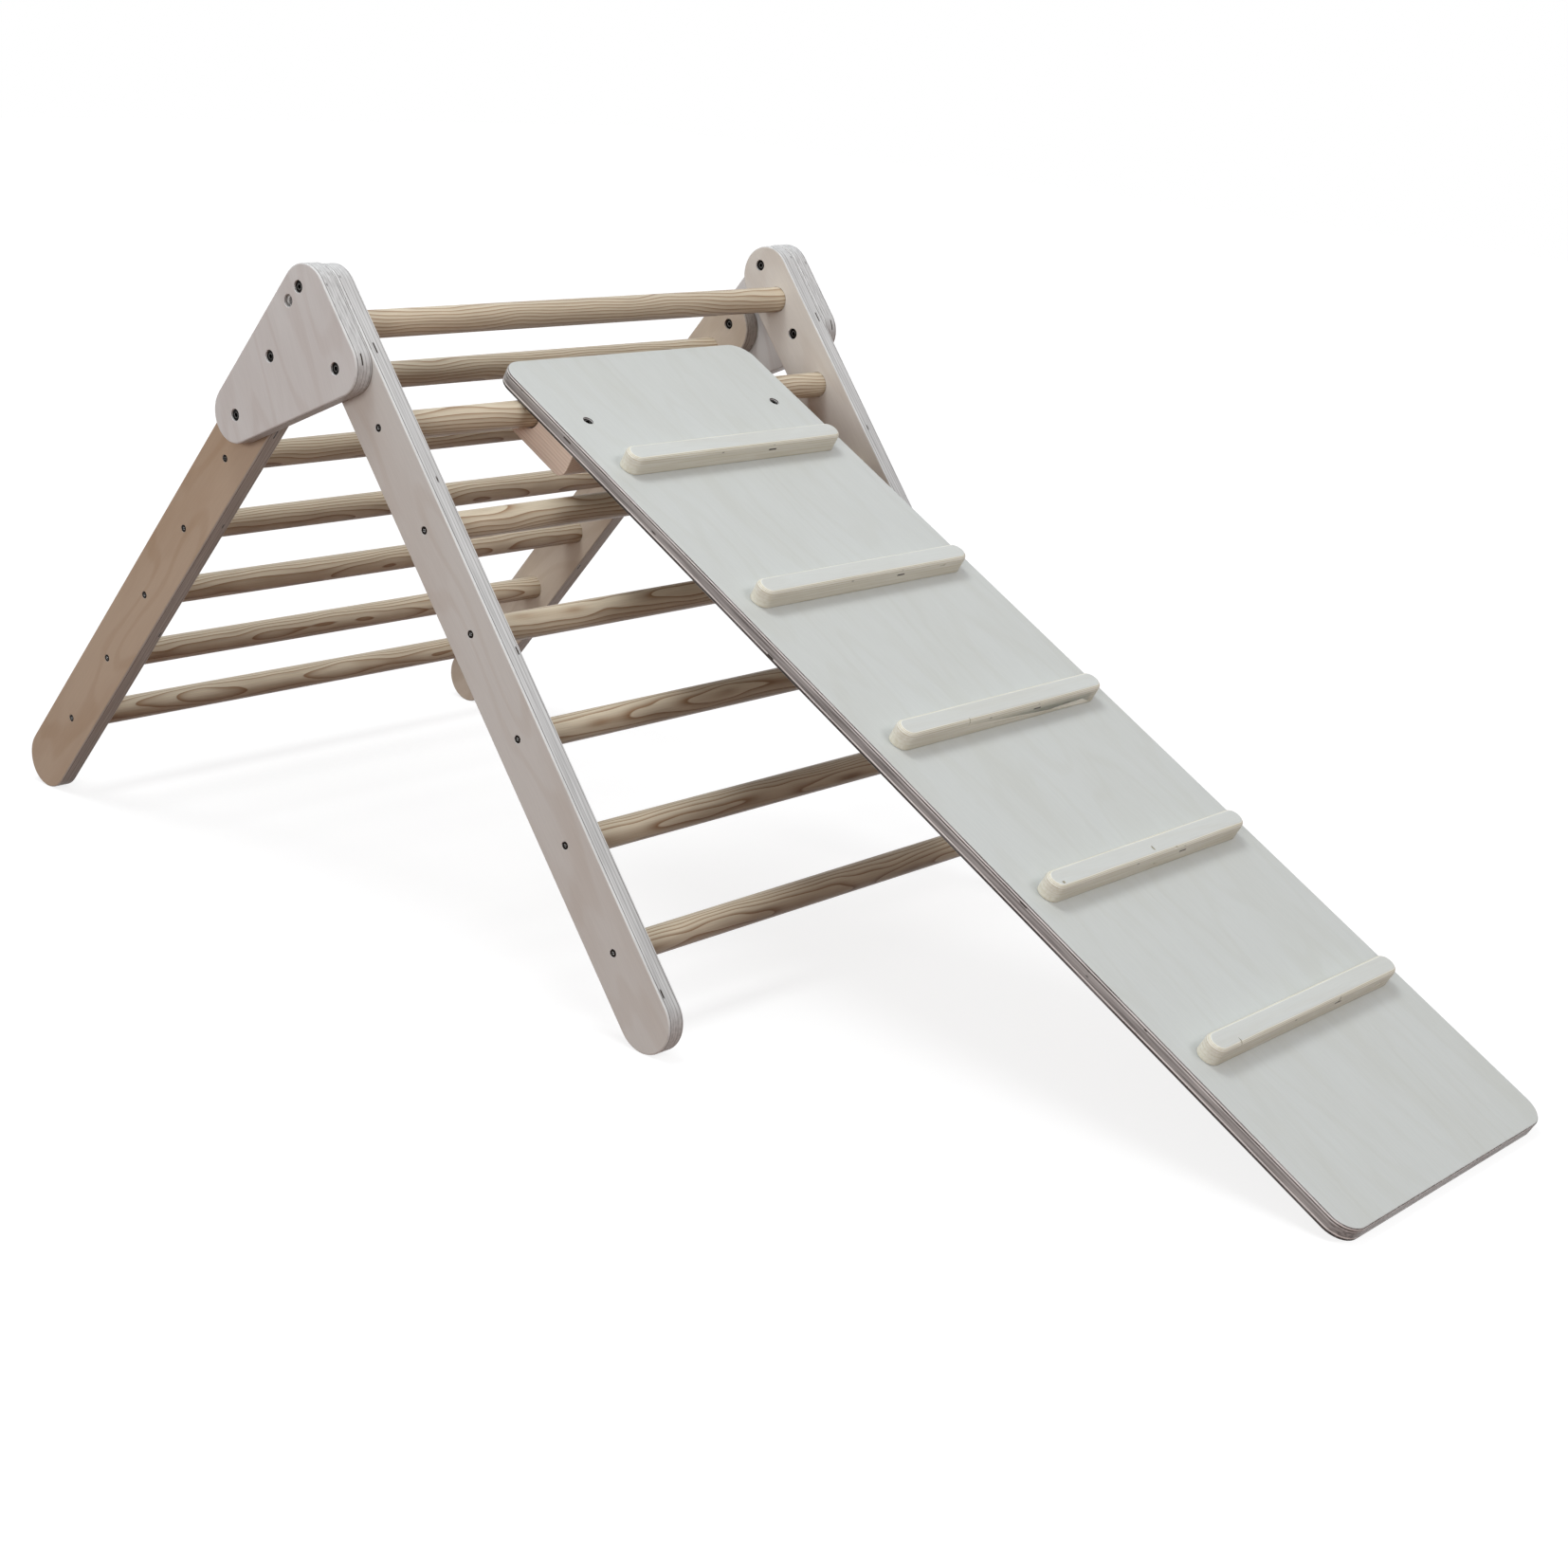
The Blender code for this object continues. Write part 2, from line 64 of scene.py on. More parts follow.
camera = bpy.data.cameras.new("camera")
camera.lens = CAMERA_LENS
camera.sensor_width = CAMERA_SENSOR
camera.shift_x, camera.shift_y = CAMERA_SHIFT
viewer = bpy.data.objects.new("camera", camera)
viewer.location = CAMERA_PLACE
viewer.rotation_euler = [math.radians(turn) for turn in CAMERA_TURN]
bpy.context.scene.collection.objects.link(viewer)
bpy.context.scene.camera = viewer
bpy.context.scene.view_settings.view_transform = "Standard"


# Light: a broad lamp overhead, one high off the ramp's foot, one on the camera's side, and a room
# that is brighter above than around. Only the camera and reflections see the room as pure white.
ROOM_ABOVE = (0.61, 0.68, 0.74, 1)
ROOM_AROUND = (0.16, 0.08, 0.042, 1)
LAMPS = {
    "overhead": {
        "place": (-0.50, -0.80, 3.80), "size": (1.3, 1.3), "power": 55, "colour": (0.98, 1, 1)},
    "foot": {
        "place": (4.00, 0.90, 3.60), "size": (2.4, 2.4), "power": 82, "colour": (1, 1, 1)},
    "side": {
        "place": (1.00, -4.80, 1.60), "size": (4.8, 1.4), "power": 122,
        "colour": (0.96, 0.97, 0.97)},
}
LAMPS_AIM = (-0.05, 0, 0.25)
WHITE = (1, 1, 1, 1)


def add_node(tree, kind, inputs=None, **settings):
    """A shader node whose inputs are values or other nodes' outputs."""
    node = tree.nodes.new("ShaderNode" + kind)
    for key, value in settings.items():
        setattr(node, key, value)
    for key, value in (inputs or {}).items():
        if isinstance(value, bpy.types.NodeSocket):
            tree.links.new(value, node.inputs[key])
        else:
            node.inputs[key].default_value = value
    return node


def calc(tree, operation, *values):
    """The result of a Math node."""
    return add_node(tree, "Math", dict(enumerate(values)), operation=operation).outputs[0]


def seen_as_background(tree):
    """1 for rays from the camera, reflections and clear materials, otherwise 0."""
    path = add_node(tree, "LightPath").outputs
    seen = calc(tree, "MAXIMUM", path["Is Camera Ray"], path["Is Glossy Ray"])
    return calc(tree, "MAXIMUM", seen, path["Is Transmission Ray"])


for name, lamp in LAMPS.items():
    light = bpy.data.lights.new(name, "AREA")
    light.shape = "ELLIPSE"
    light.size, light.size_y = lamp["size"]
    light.energy = lamp["power"]
    light.color = lamp["colour"]
    holder = bpy.data.objects.new(name, light)
    holder.location = lamp["place"]
    aim = Vector(LAMPS_AIM) - holder.location
    holder.rotation_euler = aim.to_track_quat("-Z", "Y").to_euler()
    bpy.context.scene.collection.objects.link(holder)

room = bpy.data.worlds.new("room")
room.use_nodes = True
tree = room.node_tree
tree.nodes.clear()
direction = add_node(tree, "TexCoord").outputs["Generated"]
upwards = add_node(tree, "SeparateXYZ", {0: direction}).outputs[2]
overhead = {0: calc(tree, "MULTIPLY", upwards, upwards), 6: ROOM_AROUND, 7: ROOM_ABOVE}
glow = add_node(tree, "Mix", overhead, data_type="RGBA").outputs[2]
lit = add_node(tree, "Background", {"Color": glow})
seen = add_node(tree, "Background", {"Color": WHITE})
shown = {0: seen_as_background(tree), 1: lit.outputs[0], 2: seen.outputs[0]}
mixed = add_node(tree, "MixShader", shown)
add_node(tree, "OutputWorld", {"Surface": mixed.outputs[0]})
bpy.context.scene.world = room


# Floor: a plain pale floor that fades into the white room and keeps the object's soft shadow.
# What it throws back up at the object is a warm wood tone, so the undersides turn brown.
FLOOR_REACH = 8.0
FLOOR_SEEN = (0.26, 0.26, 0.26, 1)
FLOOR_GLOW = (0.82, 0.94)
FLOOR_FADE = (1.0, 3.2)
FLOOR_BOUNCE = (0.15, 0.055, 0.02, 1)

ground = bmesh.new()
bmesh.ops.create_grid(ground, x_segments=1, y_segments=1, size=FLOOR_REACH)
floor_mesh = bpy.data.meshes.new("floor")
ground.to_mesh(floor_mesh)
ground.free()
floor_paint = bpy.data.materials.new("floor")
floor_paint.use_nodes = True
tree = floor_paint.node_tree
tree.nodes.clear()
pale = add_node(tree, "BsdfDiffuse", {"Color": FLOOR_SEEN})
position = add_node(tree, "TexCoord").outputs["Object"]
away = add_node(tree, "VectorMath", {0: position}, operation="LENGTH").outputs["Value"]
fade = {"Value": away, 1: FLOOR_FADE[0], 2: FLOOR_FADE[1], 3: FLOOR_GLOW[0], 4: FLOOR_GLOW[1]}
strength = add_node(tree, "MapRange", fade).outputs[0]
glow = add_node(tree, "Emission", {"Color": WHITE, "Strength": strength})
seen = add_node(tree, "AddShader", {0: pale.outputs[0], 1: glow.outputs[0]})
bounce = add_node(tree, "BsdfDiffuse", {"Color": FLOOR_BOUNCE})
shown = {0: seen_as_background(tree), 1: bounce.outputs[0], 2: seen.outputs[0]}
mixed = add_node(tree, "MixShader", shown)
add_node(tree, "OutputMaterial", {"Surface": mixed.outputs[0]})
floor_mesh.materials.append(floor_paint)
floor = bpy.data.objects.new("floor", floor_mesh)
bpy.context.scene.collection.objects.link(floor)


# Rails: four plywood boards, two to a ladder, each with fully round ends and eased edges.
# Inside they have blind sockets for the rungs; bolts and screws come through from the outside.
BOARD = 0.018
RAIL_WIDTH = 0.060
EASED = 0.0015
EASED_STEPS = 3
SOCKET_DEPTH = 0.010
RUNG_DIAMETER = 0.025
PLAY = 0.0003
OVERRUN = 0.004
ARC_STEP = math.radians(4)
SAME_POINT = 0.00001
SMOOTH_BELOW = math.radians(35)
HOLE_SIDES = 40
BOLT_HEAD = 0.0104
BOLT_HEAD_HEIGHT = 0.0025
BOLT_SHANK = 0.0070
BOLT_SINK = 0.0015
BOLT_MOUTH = 0.0004
SCREW_HEAD = 0.0070
SCREW_SHANK = 0.0036
SCREW_CONE = 0.0022
SCREW_SINK = 0.0003
VENEER = 0.0002
# Tones of the plies, from 0 for light to 1 for dark, by their share of the way out
RAIL_LAYERS = (
    (0, 0.3), (0.05, 0.05), (0.11, 0.1), (0.12, 0.8), (0.15, 0.8), (0.16, 0.2), (0.33, 0.2),
    (0.35, 0.55), (0.37, 0.55), (0.39, 0.2), (0.52, 0.15), (0.54, 0.5), (0.56, 0.5), (0.58, 0.15),
    (0.70, 0.25), (0.72, 0.45), (0.74, 0.2), (0.84, 0.1), (0.85, 1), (0.88, 1), (0.89, 0),
    (0.95, 0), (1, 0.1),
)
RAIL_EDGE = ((0.66, 0.665, 0.665), (0.16, 0.155, 0.15))
RAIL_VENEER = ((0.59, 0.58, 0.56), (0.53, 0.495, 0.46))
# The far front rail's veneer is lighter than the near one's of the same plywood: painted light on
# its shaded faces.
FAR_RAIL_VENEER_PAINTED_LIGHT = ((0.69, 0.67, 0.63), (0.63, 0.59, 0.54))
# The back rails' edges and veneers are darker and browner than the front rails' of the same birch
# plywood: painted shade.
BACK_EDGE_PAINTED_SHADE = ((0.50, 0.46, 0.42), (0.15, 0.11, 0.085))
BACK_VENEER_PAINTED_SHADE = ((0.44, 0.34, 0.25), (0.37, 0.265, 0.18))
# The far back rail's veneer is lighter than the near back one's, where its top is lit better, and
# darker than the front rails': painted light and shade.
FAR_BACK_VENEER_PAINTED_LIGHT_AND_SHADE = ((0.60, 0.53, 0.445), (0.52, 0.44, 0.35))
VOID = (0.035, 0.025, 0.02)
PLY_ROUGHNESS = 0.42
FLAME_ROUGHNESS = 0.08
PLY_DRIFT = 0.00005
# Each grain says how fast a noise changes along a board and across it, in turns per metre
DRIFT_GRAIN = (9, 55, 55)
DRIFT_GAIN = 4
FADE_GRAIN = (16, 420, 420)
FADE_SPAN = (0.25, 0.75)
FADE = 0.16
GAP_ROWS = 11
GAP_GRAIN = 38
GAP_ROW_STEP = 5.3
GAP_FROM, GAP_TO = 0.71, 0.74
GAP_REACH = 0.4
FLAME_GRAIN = (2.3, 11, 11)
FLAME_WAVES = 60
FLAME_FROM, FLAME_TO = 0.3, 1.0
FLAME_SHARE = 0.4
CLOUD_GRAIN = (6, 18, 18)
CLOUD_FROM, CLOUD_TO = 0.35, 0.7
FIBRE_GRAIN = (40, 800, 800)
NOISE_SPAN = (0.3, 0.7)
FIBRE_DARK, FIBRE_LIGHT = 0.98, 1.015
FIBRE_RELIEF = 0.12
PLY_RELIEF = 0.4
RELIEF_DEPTH = 0.0004
GLOSS = 0.3

rail_outer = -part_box("front_rail_left")[0].y
rail_inner = rail_outer - BOARD
gusset_outer = -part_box("gusset_left")[0].y
gusset_inner = gusset_outer - BOARD
socket_floor = rail_inner + SOCKET_DEPTH
body_of = {}
for body, nodes in frame["record"]["behaviour"]["bodies"].items():
    for node in nodes:
        body_of[node] = body


def ladder_place(node, falls):
    """Matrix of a ladder's side view, and its rails' length between the round ends' centres.

    X runs down the rails from the top end's centre, and Z outwards from the ladder.
    """
    low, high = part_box(node)
    half = RAIL_WIDTH / 2
    top = Vector((low.x + half if falls > 0 else high.x - half, 0, high.z - half))
    foot = Vector((high.x - half if falls > 0 else low.x + half, 0, low.z + half))
    run = foot - top
    turn = Matrix.Rotation(math.atan2(-run.z, run.x), 4, "Y")
    return Matrix.Translation(top) @ turn, run.length


def middle(node):
    """The middle of a node's box."""
    low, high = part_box(node)
    return (low + high) / 2


def spot_of(place, node):
    """A node's middle in a side view: along it and out from it."""
    local = place.inverted() @ middle(node)
    return Vector((local.x, local.z))


def to_mesh(form, name):
    """The form as a mesh, with its normals outwards. The form is used up."""
    bmesh.ops.remove_doubles(form, verts=form.verts[:], dist=SAME_POINT)
    bmesh.ops.recalc_face_normals(form, faces=form.faces[:])
    mesh = bpy.data.meshes.new(name)
    form.to_mesh(mesh)
    form.free()
    return mesh


def board(name, corners, radii, low, high, eased_low, eased_high, steps=EASED_STEPS):
    """A board between two levels. Its corners run anticlockwise, each with its own radius."""
    form = bmesh.new()
    arcs = []
    for i, (corner, radius) in enumerate(zip(corners, radii)):
        back = (corners[i - 1] - corner).normalized()
        ahead = (corners[(i + 1) % len(corners)] - corner).normalized()
        half = back.angle(ahead) / 2
        centre = corner + (back + ahead).normalized() * radius / math.sin(half)
        start = form.verts.new((*(corner + back * radius / math.tan(half)), low))
        sweep = math.pi - 2 * half
        spun = bmesh.ops.spin(form, geom=[start], cent=(*centre, low), axis=(0, 0, 1),
                              angle=sweep, steps=math.ceil(sweep / ARC_STEP))
        arcs.append((start, spun["geom_last"][0]))
    for i, (start, _) in enumerate(arcs):
        form.edges.new((arcs[i - 1][1], start))
    bmesh.ops.remove_doubles(form, verts=form.verts[:], dist=SAME_POINT)
    outline = bmesh.ops.edgeloop_fill(form, edges=form.edges[:])["faces"]
    drawn = bmesh.ops.extrude_face_region(form, geom=outline)["geom"]
    raised = [item for item in drawn if isinstance(item, bmesh.types.BMVert)]
    bmesh.ops.translate(form, verts=raised, vec=(0, 0, high - low))
    for width, level in ((eased_low, low), (eased_high, high)):
        rim = [e for e in form.edges if all(abs(v.co.z - level) < SAME_POINT for v in e.verts)]
        if width:
            bmesh.ops.bevel(form, geom=rim, offset=width, segments=steps, profile=0.5,
                            affect="EDGES", material=-1, clamp_overlap=True)
    return to_mesh(form, name)


def rectangle(x_low, x_high, y_low, y_high):
    """The corners of a rectangle, anticlockwise from its lowest."""
    spots = ((x_low, y_low), (x_high, y_low), (x_high, y_high), (x_low, y_high))
    return [Vector(spot) for spot in spots]


def holes(spots, low, high, radius, mouth=None):
    """Round cutters between two levels, with a wider or narrower mouth at the high one."""
    form = bmesh.new()
    for spot in spots:
        where = Matrix.Translation((*spot, (low + high) / 2))
        bmesh.ops.create_cone(form, cap_ends=True, segments=HOLE_SIDES, radius1=radius,
                              radius2=mouth or radius, depth=high - low, matrix=where)
    return to_mesh(form, "holes")


def cut(mesh, *tools):
    """The mesh with each tool's mesh taken out of it."""
    blank = bpy.data.objects.new(mesh.name, mesh)
    bpy.context.scene.collection.objects.link(blank)
    helpers = [blank]
    for tool in tools:
        cutter = bpy.data.objects.new(tool.name, tool)
        bpy.context.scene.collection.objects.link(cutter)
        helpers.append(cutter)
        removal = blank.modifiers.new("cut", "BOOLEAN")
        removal.operation = "DIFFERENCE"
        removal.solver = "EXACT"
        removal.object = cutter
    evaluated = blank.evaluated_get(bpy.context.evaluated_depsgraph_get())
    result = bpy.data.meshes.new_from_object(evaluated)
    result.name = mesh.name
    for helper in helpers:
        bpy.data.objects.remove(helper)
    return result


def fit(name, mesh, material, node, hides=True):
    """One finished piece riding with a node's body. It takes the node's place if it hides it."""
    mesh.materials.clear()
    mesh.materials.append(material)
    mesh.shade_smooth()
    mesh.set_sharp_from_angle(angle=SMOOTH_BELOW)
    item = bpy.data.objects.new(name, mesh)
    bpy.context.scene.collection.objects.link(item)
    shading = item.modifiers.new("even_shading", "WEIGHTED_NORMAL")
    shading.keep_sharp = True
    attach(item, body_of[node])
    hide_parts(*([node] if hides else []))


def placed(mesh, place, mirrored=False):
    """A copy of the mesh in its place, or in the mirror image of it across the middle plane."""
    copy = mesh.copy()
    copy.transform(place)
    if mirrored:
        copy.transform(Matrix.Scale(-1, 4, (0, 1, 0)))
        copy.flip_normals()
    return copy


def shader_group(name, inputs, outputs):
    """An empty shader node group with these sockets, and its two end nodes."""
    group = bpy.data.node_groups.new(name, "ShaderNodeTree")
    for way, sockets in (("INPUT", inputs), ("OUTPUT", outputs)):
        for socket, kind in sockets.items():
            group.interface.new_socket(socket, in_out=way, socket_type="NodeSocket" + kind)
    given = group.nodes.new("NodeGroupInput").outputs
    return group, given, group.nodes.new("NodeGroupOutput").inputs


def stretched(tree, vector, scale, turn=(0.5, 0.4, 0.3)):
    """The vector with each axis scaled, then turned so that no pattern follows a board."""
    inputs = {"Vector": vector, "Scale": scale, "Rotation": turn}
    return add_node(tree, "Mapping", inputs).outputs[0]


def noise(tree, vector, detail=2, roughness=0.5):
    """The value of a Noise Texture."""
    inputs = {"Vector": vector, "Scale": 1, "Detail": detail, "Roughness": roughness}
    return add_node(tree, "TexNoise", inputs).outputs[0]


def between(tree, value, low, high, start=0, end=1):
    """The value mapped smoothly from one span to another."""
    inputs = {"Value": value, "From Min": low, "From Max": high, "To Min": start, "To Max": end}
    return add_node(tree, "MapRange", inputs, interpolation_type="SMOOTHSTEP").outputs[0]


def blend(tree, factor, first, second):
    """A colour between two, each a plain colour or another node's output."""
    first = (*first, 1) if isinstance(first, tuple) else first
    second = (*second, 1) if isinstance(second, tuple) else second
    mix = add_node(tree, "Mix", {0: factor, 6: first, 7: second}, data_type="RGBA")
    return mix.outputs[2]


# Layers of a plywood edge: the place in the lay-up, drifting along the board, and gaps in plies
layers, given, result = shader_group(
    "ply_layers",
    {"Board": "Vector", "Depth": "Float", "Thickness": "Float", "Drift": "Float"},
    {"Layer": "Float", "Fade": "Float", "Gap": "Float"},
)
waver = noise(layers, stretched(layers, given["Board"], DRIFT_GRAIN), detail=1)
drift = calc(layers, "SUBTRACT", waver, 0.5)
drift = calc(layers, "MULTIPLY", drift, calc(layers, "MULTIPLY", given["Drift"], DRIFT_GAIN))
depth = calc(layers, "ADD", given["Depth"], drift)
layer = calc(layers, "DIVIDE", depth, given["Thickness"])
index = calc(layers, "FLOOR", calc(layers, "MULTIPLY", layer, GAP_ROWS))
along = add_node(layers, "SeparateXYZ", {0: given["Board"]}).outputs[0]
along = calc(layers, "MULTIPLY", along, GAP_GRAIN)
index = calc(layers, "MULTIPLY", index, GAP_ROW_STEP)
row = add_node(layers, "CombineXYZ", {0: along, 1: index}).outputs[0]
fade = noise(layers, stretched(layers, given["Board"], FADE_GRAIN), detail=2)
from_middle = calc(layers, "ABSOLUTE", calc(layers, "SUBTRACT", layer, 0.5))
inside = calc(layers, "LESS_THAN", from_middle, GAP_REACH)
gaps = between(layers, noise(layers, row, detail=1), GAP_FROM, GAP_TO)
gaps = calc(layers, "MULTIPLY", gaps, inside)
layers.links.new(layer, result["Layer"])
layers.links.new(fade, result["Fade"])
layers.links.new(gaps, result["Gap"])

# Figure of a peeled birch veneer: wide faint flames, soft clouds and fine fibres
figure, given, result = shader_group(
    "veneer_figure", {"Board": "Vector"}, {"Flame": "Float", "Fibre": "Float"})
slow = noise(figure, stretched(figure, given["Board"], FLAME_GRAIN), detail=2)
waves = calc(figure, "SINE", calc(figure, "MULTIPLY", slow, FLAME_WAVES))
flames = between(figure, waves, FLAME_FROM, FLAME_TO)
flames = calc(figure, "MULTIPLY", flames, FLAME_SHARE)
clouds = noise(figure, stretched(figure, given["Board"], CLOUD_GRAIN), detail=3)
clouds = between(figure, clouds, CLOUD_FROM, CLOUD_TO)
clouds = calc(figure, "MULTIPLY", clouds, 1 - FLAME_SHARE)
fibres = noise(figure, stretched(figure, given["Board"], FIBRE_GRAIN), detail=2)
figure.links.new(calc(figure, "ADD", flames, clouds), result["Flame"])
figure.links.new(fibres, result["Fibre"])


def plywood(name, place, across, first_face, thickness, layup, edge_tones, veneer_tones,
            roughness=PLY_ROUGHNESS, drift=PLY_DRIFT):
    """Clear-lacquered plywood in the frame of its board. Each pair of tones is light, then dark."""
    material = bpy.data.materials.new(name)
    material.use_nodes = True
    tree = material.node_tree
    surface = tree.nodes["Principled BSDF"]
    surface.inputs["Specular IOR Level"].default_value = GLOSS
    laying = {
        "Vector": add_node(tree, "TexCoord").outputs["Object"],
        "Location": place.translation,
        "Rotation": place.to_euler(),
    }
    laid = add_node(tree, "Mapping", laying, vector_type="TEXTURE").outputs[0]
    level = add_node(tree, "SeparateXYZ", {0: laid}).outputs[across]
    depth = calc(tree, "SUBTRACT", calc(tree, "ABSOLUTE", level), first_face)
    edge = add_node(tree, "Group", {"Board": laid, "Depth": depth}, node_tree=layers)
    edge.inputs["Thickness"].default_value = thickness
    edge.inputs["Drift"].default_value = drift
    edge = edge.outputs
    grain = add_node(tree, "Group", {"Board": laid}, node_tree=figure).outputs

    tones = add_node(tree, "ValToRGB", {0: edge["Layer"]})
    stops = tones.color_ramp.elements
    stops.remove(stops[1])
    stops[0].position, stops[0].color = 0, (*[layup[0][1]] * 3, 1)
    for at, tone in layup[1:]:
        stops.new(at).color = (tone, tone, tone, 1)
    shade = {0: tones.outputs[0], 1: between(tree, edge["Fade"], *FADE_SPAN, -FADE, FADE)}
    shade = add_node(tree, "Math", shade, operation="ADD", use_clamp=True).outputs[0]
    plies = blend(tree, edge["Gap"], blend(tree, shade, *edge_tones), VOID)

    face = blend(tree, grain["Flame"], *veneer_tones)
    depth = calc(tree, "MULTIPLY", edge["Layer"], thickness)
    from_middle = calc(tree, "ABSOLUTE", calc(tree, "SUBTRACT", depth, thickness / 2))
    outermost = calc(tree, "GREATER_THAN", from_middle, thickness / 2 - VENEER)
    fibres = between(tree, grain["Fibre"], *NOISE_SPAN, FIBRE_DARK, FIBRE_LIGHT)
    colour = {0: blend(tree, outermost, plies, face), 3: fibres}
    colour = add_node(tree, "VectorMath", colour, operation="SCALE").outputs[0]
    tree.links.new(colour, surface.inputs["Base Color"])
    sheen = between(tree, grain["Flame"], 0, 1, roughness, roughness + FLAME_ROUGHNESS)
    tree.links.new(sheen, surface.inputs["Roughness"])
    relief = calc(tree, "MULTIPLY", grain["Fibre"], FIBRE_RELIEF)
    relief = {"Height": calc(tree, "SUBTRACT", relief, edge["Gap"])}
    bump = add_node(tree, "Bump", {**relief, "Strength": PLY_RELIEF, "Distance": RELIEF_DEPTH})
    tree.links.new(bump.outputs[0], surface.inputs["Normal"])
    return material


front_place, front_length = ladder_place("front_rail_left", 1)
back_place, back_length = ladder_place("back_rail_left", -1)
sideways = Matrix.Rotation(math.pi / 2, 4, "X")
bolt_step = BOLT_SINK + BOLT_HEAD_HEIGHT + PLAY


def rail(place, length, rungs, screws, bolts):
    """A left rail in the side view, with its levels measured outwards from the middle plane."""
    half = RAIL_WIDTH / 2
    outline = rectangle(-half, length + half, -half, half)
    blank = board("rail", outline, [half] * 4, rail_inner, rail_outer, EASED, EASED)
    rungs = [spot_of(place, node) for node in rungs]
    screws = [spot_of(place, node) for node in screws]
    bolts = [spot_of(place, node) for node in bolts]
    bore = SCREW_SHANK / 2 + PLAY
    flare = SCREW_HEAD / 2 + PLAY
    rail_cuts = [
        holes(rungs, rail_inner - OVERRUN, socket_floor, RUNG_DIAMETER / 2 + PLAY),
        holes(screws, socket_floor - OVERRUN, rail_outer + OVERRUN, bore),
        holes(screws, rail_outer - SCREW_CONE - SCREW_SINK, rail_outer, bore, flare),
        holes(screws, rail_outer - SCREW_SINK, rail_outer + OVERRUN, flare),
        holes(bolts, rail_inner - OVERRUN, rail_outer + OVERRUN, BOLT_SHANK / 2 + PLAY),
        holes(bolts, rail_inner - OVERRUN, rail_inner + bolt_step, BOLT_HEAD / 2 + PLAY),
    ]
    return cut(blank, *rail_cuts)


front_rungs = [f"front_rung_{i}" for i in range(1, 8)]
back_rungs = [f"back_rung_{i}" for i in range(1, 7)]
front_screws = [f"front_screw_left_{i}" for i in range(2, 8)]
back_screws = [f"back_screw_left_{i}" for i in range(2, 7)]
rail_plywood = {}
for node, place, edge, veneer in (
    ("front_rail_left", front_place, RAIL_EDGE, RAIL_VENEER),
    ("front_rail_right", front_place, RAIL_EDGE, FAR_RAIL_VENEER_PAINTED_LIGHT),
    ("back_rail_left", back_place, BACK_EDGE_PAINTED_SHADE, BACK_VENEER_PAINTED_SHADE),
    ("back_rail_right", back_place, BACK_EDGE_PAINTED_SHADE, FAR_BACK_VENEER_PAINTED_LIGHT_AND_SHADE),
):
    rail_plywood[node] = plywood(
        node + "_plywood", place, 1, rail_inner, BOARD, RAIL_LAYERS, edge, veneer)
front_bolts = ["top_bolt_left", "low_bolt_left"]
back_bolts = ["pivot_bolt_left", "lock_bolt_left"]
front_rail = rail(front_place, front_length, front_rungs, front_screws, front_bolts)
back_rail = rail(back_place, back_length, back_rungs, back_screws, back_bolts)
for side in ("left", "right"):
    for ladder, place, shape in (
        ("front", front_place, front_rail),
        ("back", back_place, back_rail),
    ):
        node = f"{ladder}_rail_{side}"
        mesh = placed(shape, place @ sideways, side == "right")
        fit(f"{side}_{ladder}_rail", mesh, rail_plywood[node], node)


# Gussets: two rounded plywood triangles that join the ladders at the top, flush with their edges.
# Each has five bores; the one without a bolt is for setting the front ladder flatter.
GUSSET_BELOW_BOLTS = 0.025
GUSSET_RADII = (0.030, 0.027, 0.027)
FLATTER_SETTING = math.radians(13.5)
GUSSET_VENEER = ((0.65, 0.655, 0.655), (0.58, 0.56, 0.55))
GUSSET_GRAIN_TURN = math.radians(14)

uses = ("top", "low", "pivot", "lock")
bolt_spots = {use: spot_of(front_place, use + "_bolt_left") for use in uses}
to_top = bolt_spots["top"] - bolt_spots["low"]
spare = Matrix.Rotation(FLATTER_SETTING, 2) @ to_top + bolt_spots["low"]
front_line = Vector((1, 0))
back_line = (bolt_spots["lock"] - bolt_spots["pivot"]).normalized()
bolt_line = (bolt_spots["low"] - bolt_spots["lock"]).normalized()
front_edge = Vector((0, RAIL_WIDTH / 2))
back_edge = bolt_spots["pivot"] + RAIL_WIDTH / 2 * Vector((back_line.y, -back_line.x))
low_edge = bolt_spots["low"] + GUSSET_BELOW_BOLTS * Vector((bolt_line.y, -bolt_line.x))


def meeting(point, line, other_point, other_line):
    """Where two lines of the side view cross."""
    ends = point + line, other_point + other_line
    return intersect_line_line(point, ends[0], other_point, ends[1])[0].to_2d()


gusset_corners = [
    meeting(front_edge, front_line, back_edge, back_line),
    meeting(back_edge, back_line, low_edge, bolt_line),
    meeting(low_edge, bolt_line, front_edge, front_line),
]
gusset = board("gusset", gusset_corners, GUSSET_RADII, gusset_inner, gusset_outer, EASED, EASED)
bores = [*bolt_spots.values(), spare]
bore = BOLT_HEAD / 2 + PLAY
gusset = cut(
    gusset,
    holes(bores, gusset_inner - OVERRUN, gusset_outer + OVERRUN, BOLT_SHANK / 2 + PLAY),
    holes(bores, gusset_outer - bolt_step, gusset_outer + OVERRUN, bore),
    holes(bores, gusset_outer - BOLT_MOUTH, gusset_outer, bore, bore + BOLT_MOUTH),
)
gusset_place = front_place @ Matrix.Rotation(GUSSET_GRAIN_TURN, 4, "Y")
gusset_plywood = plywood("gusset_plywood", gusset_place, 1, gusset_inner, BOARD, RAIL_LAYERS,
                         RAIL_EDGE, GUSSET_VENEER)
for side in ("left", "right"):
    mesh = placed(gusset, front_place @ sideways, side == "right")
    fit(side + "_gusset", mesh, gusset_plywood, "gusset_" + side)


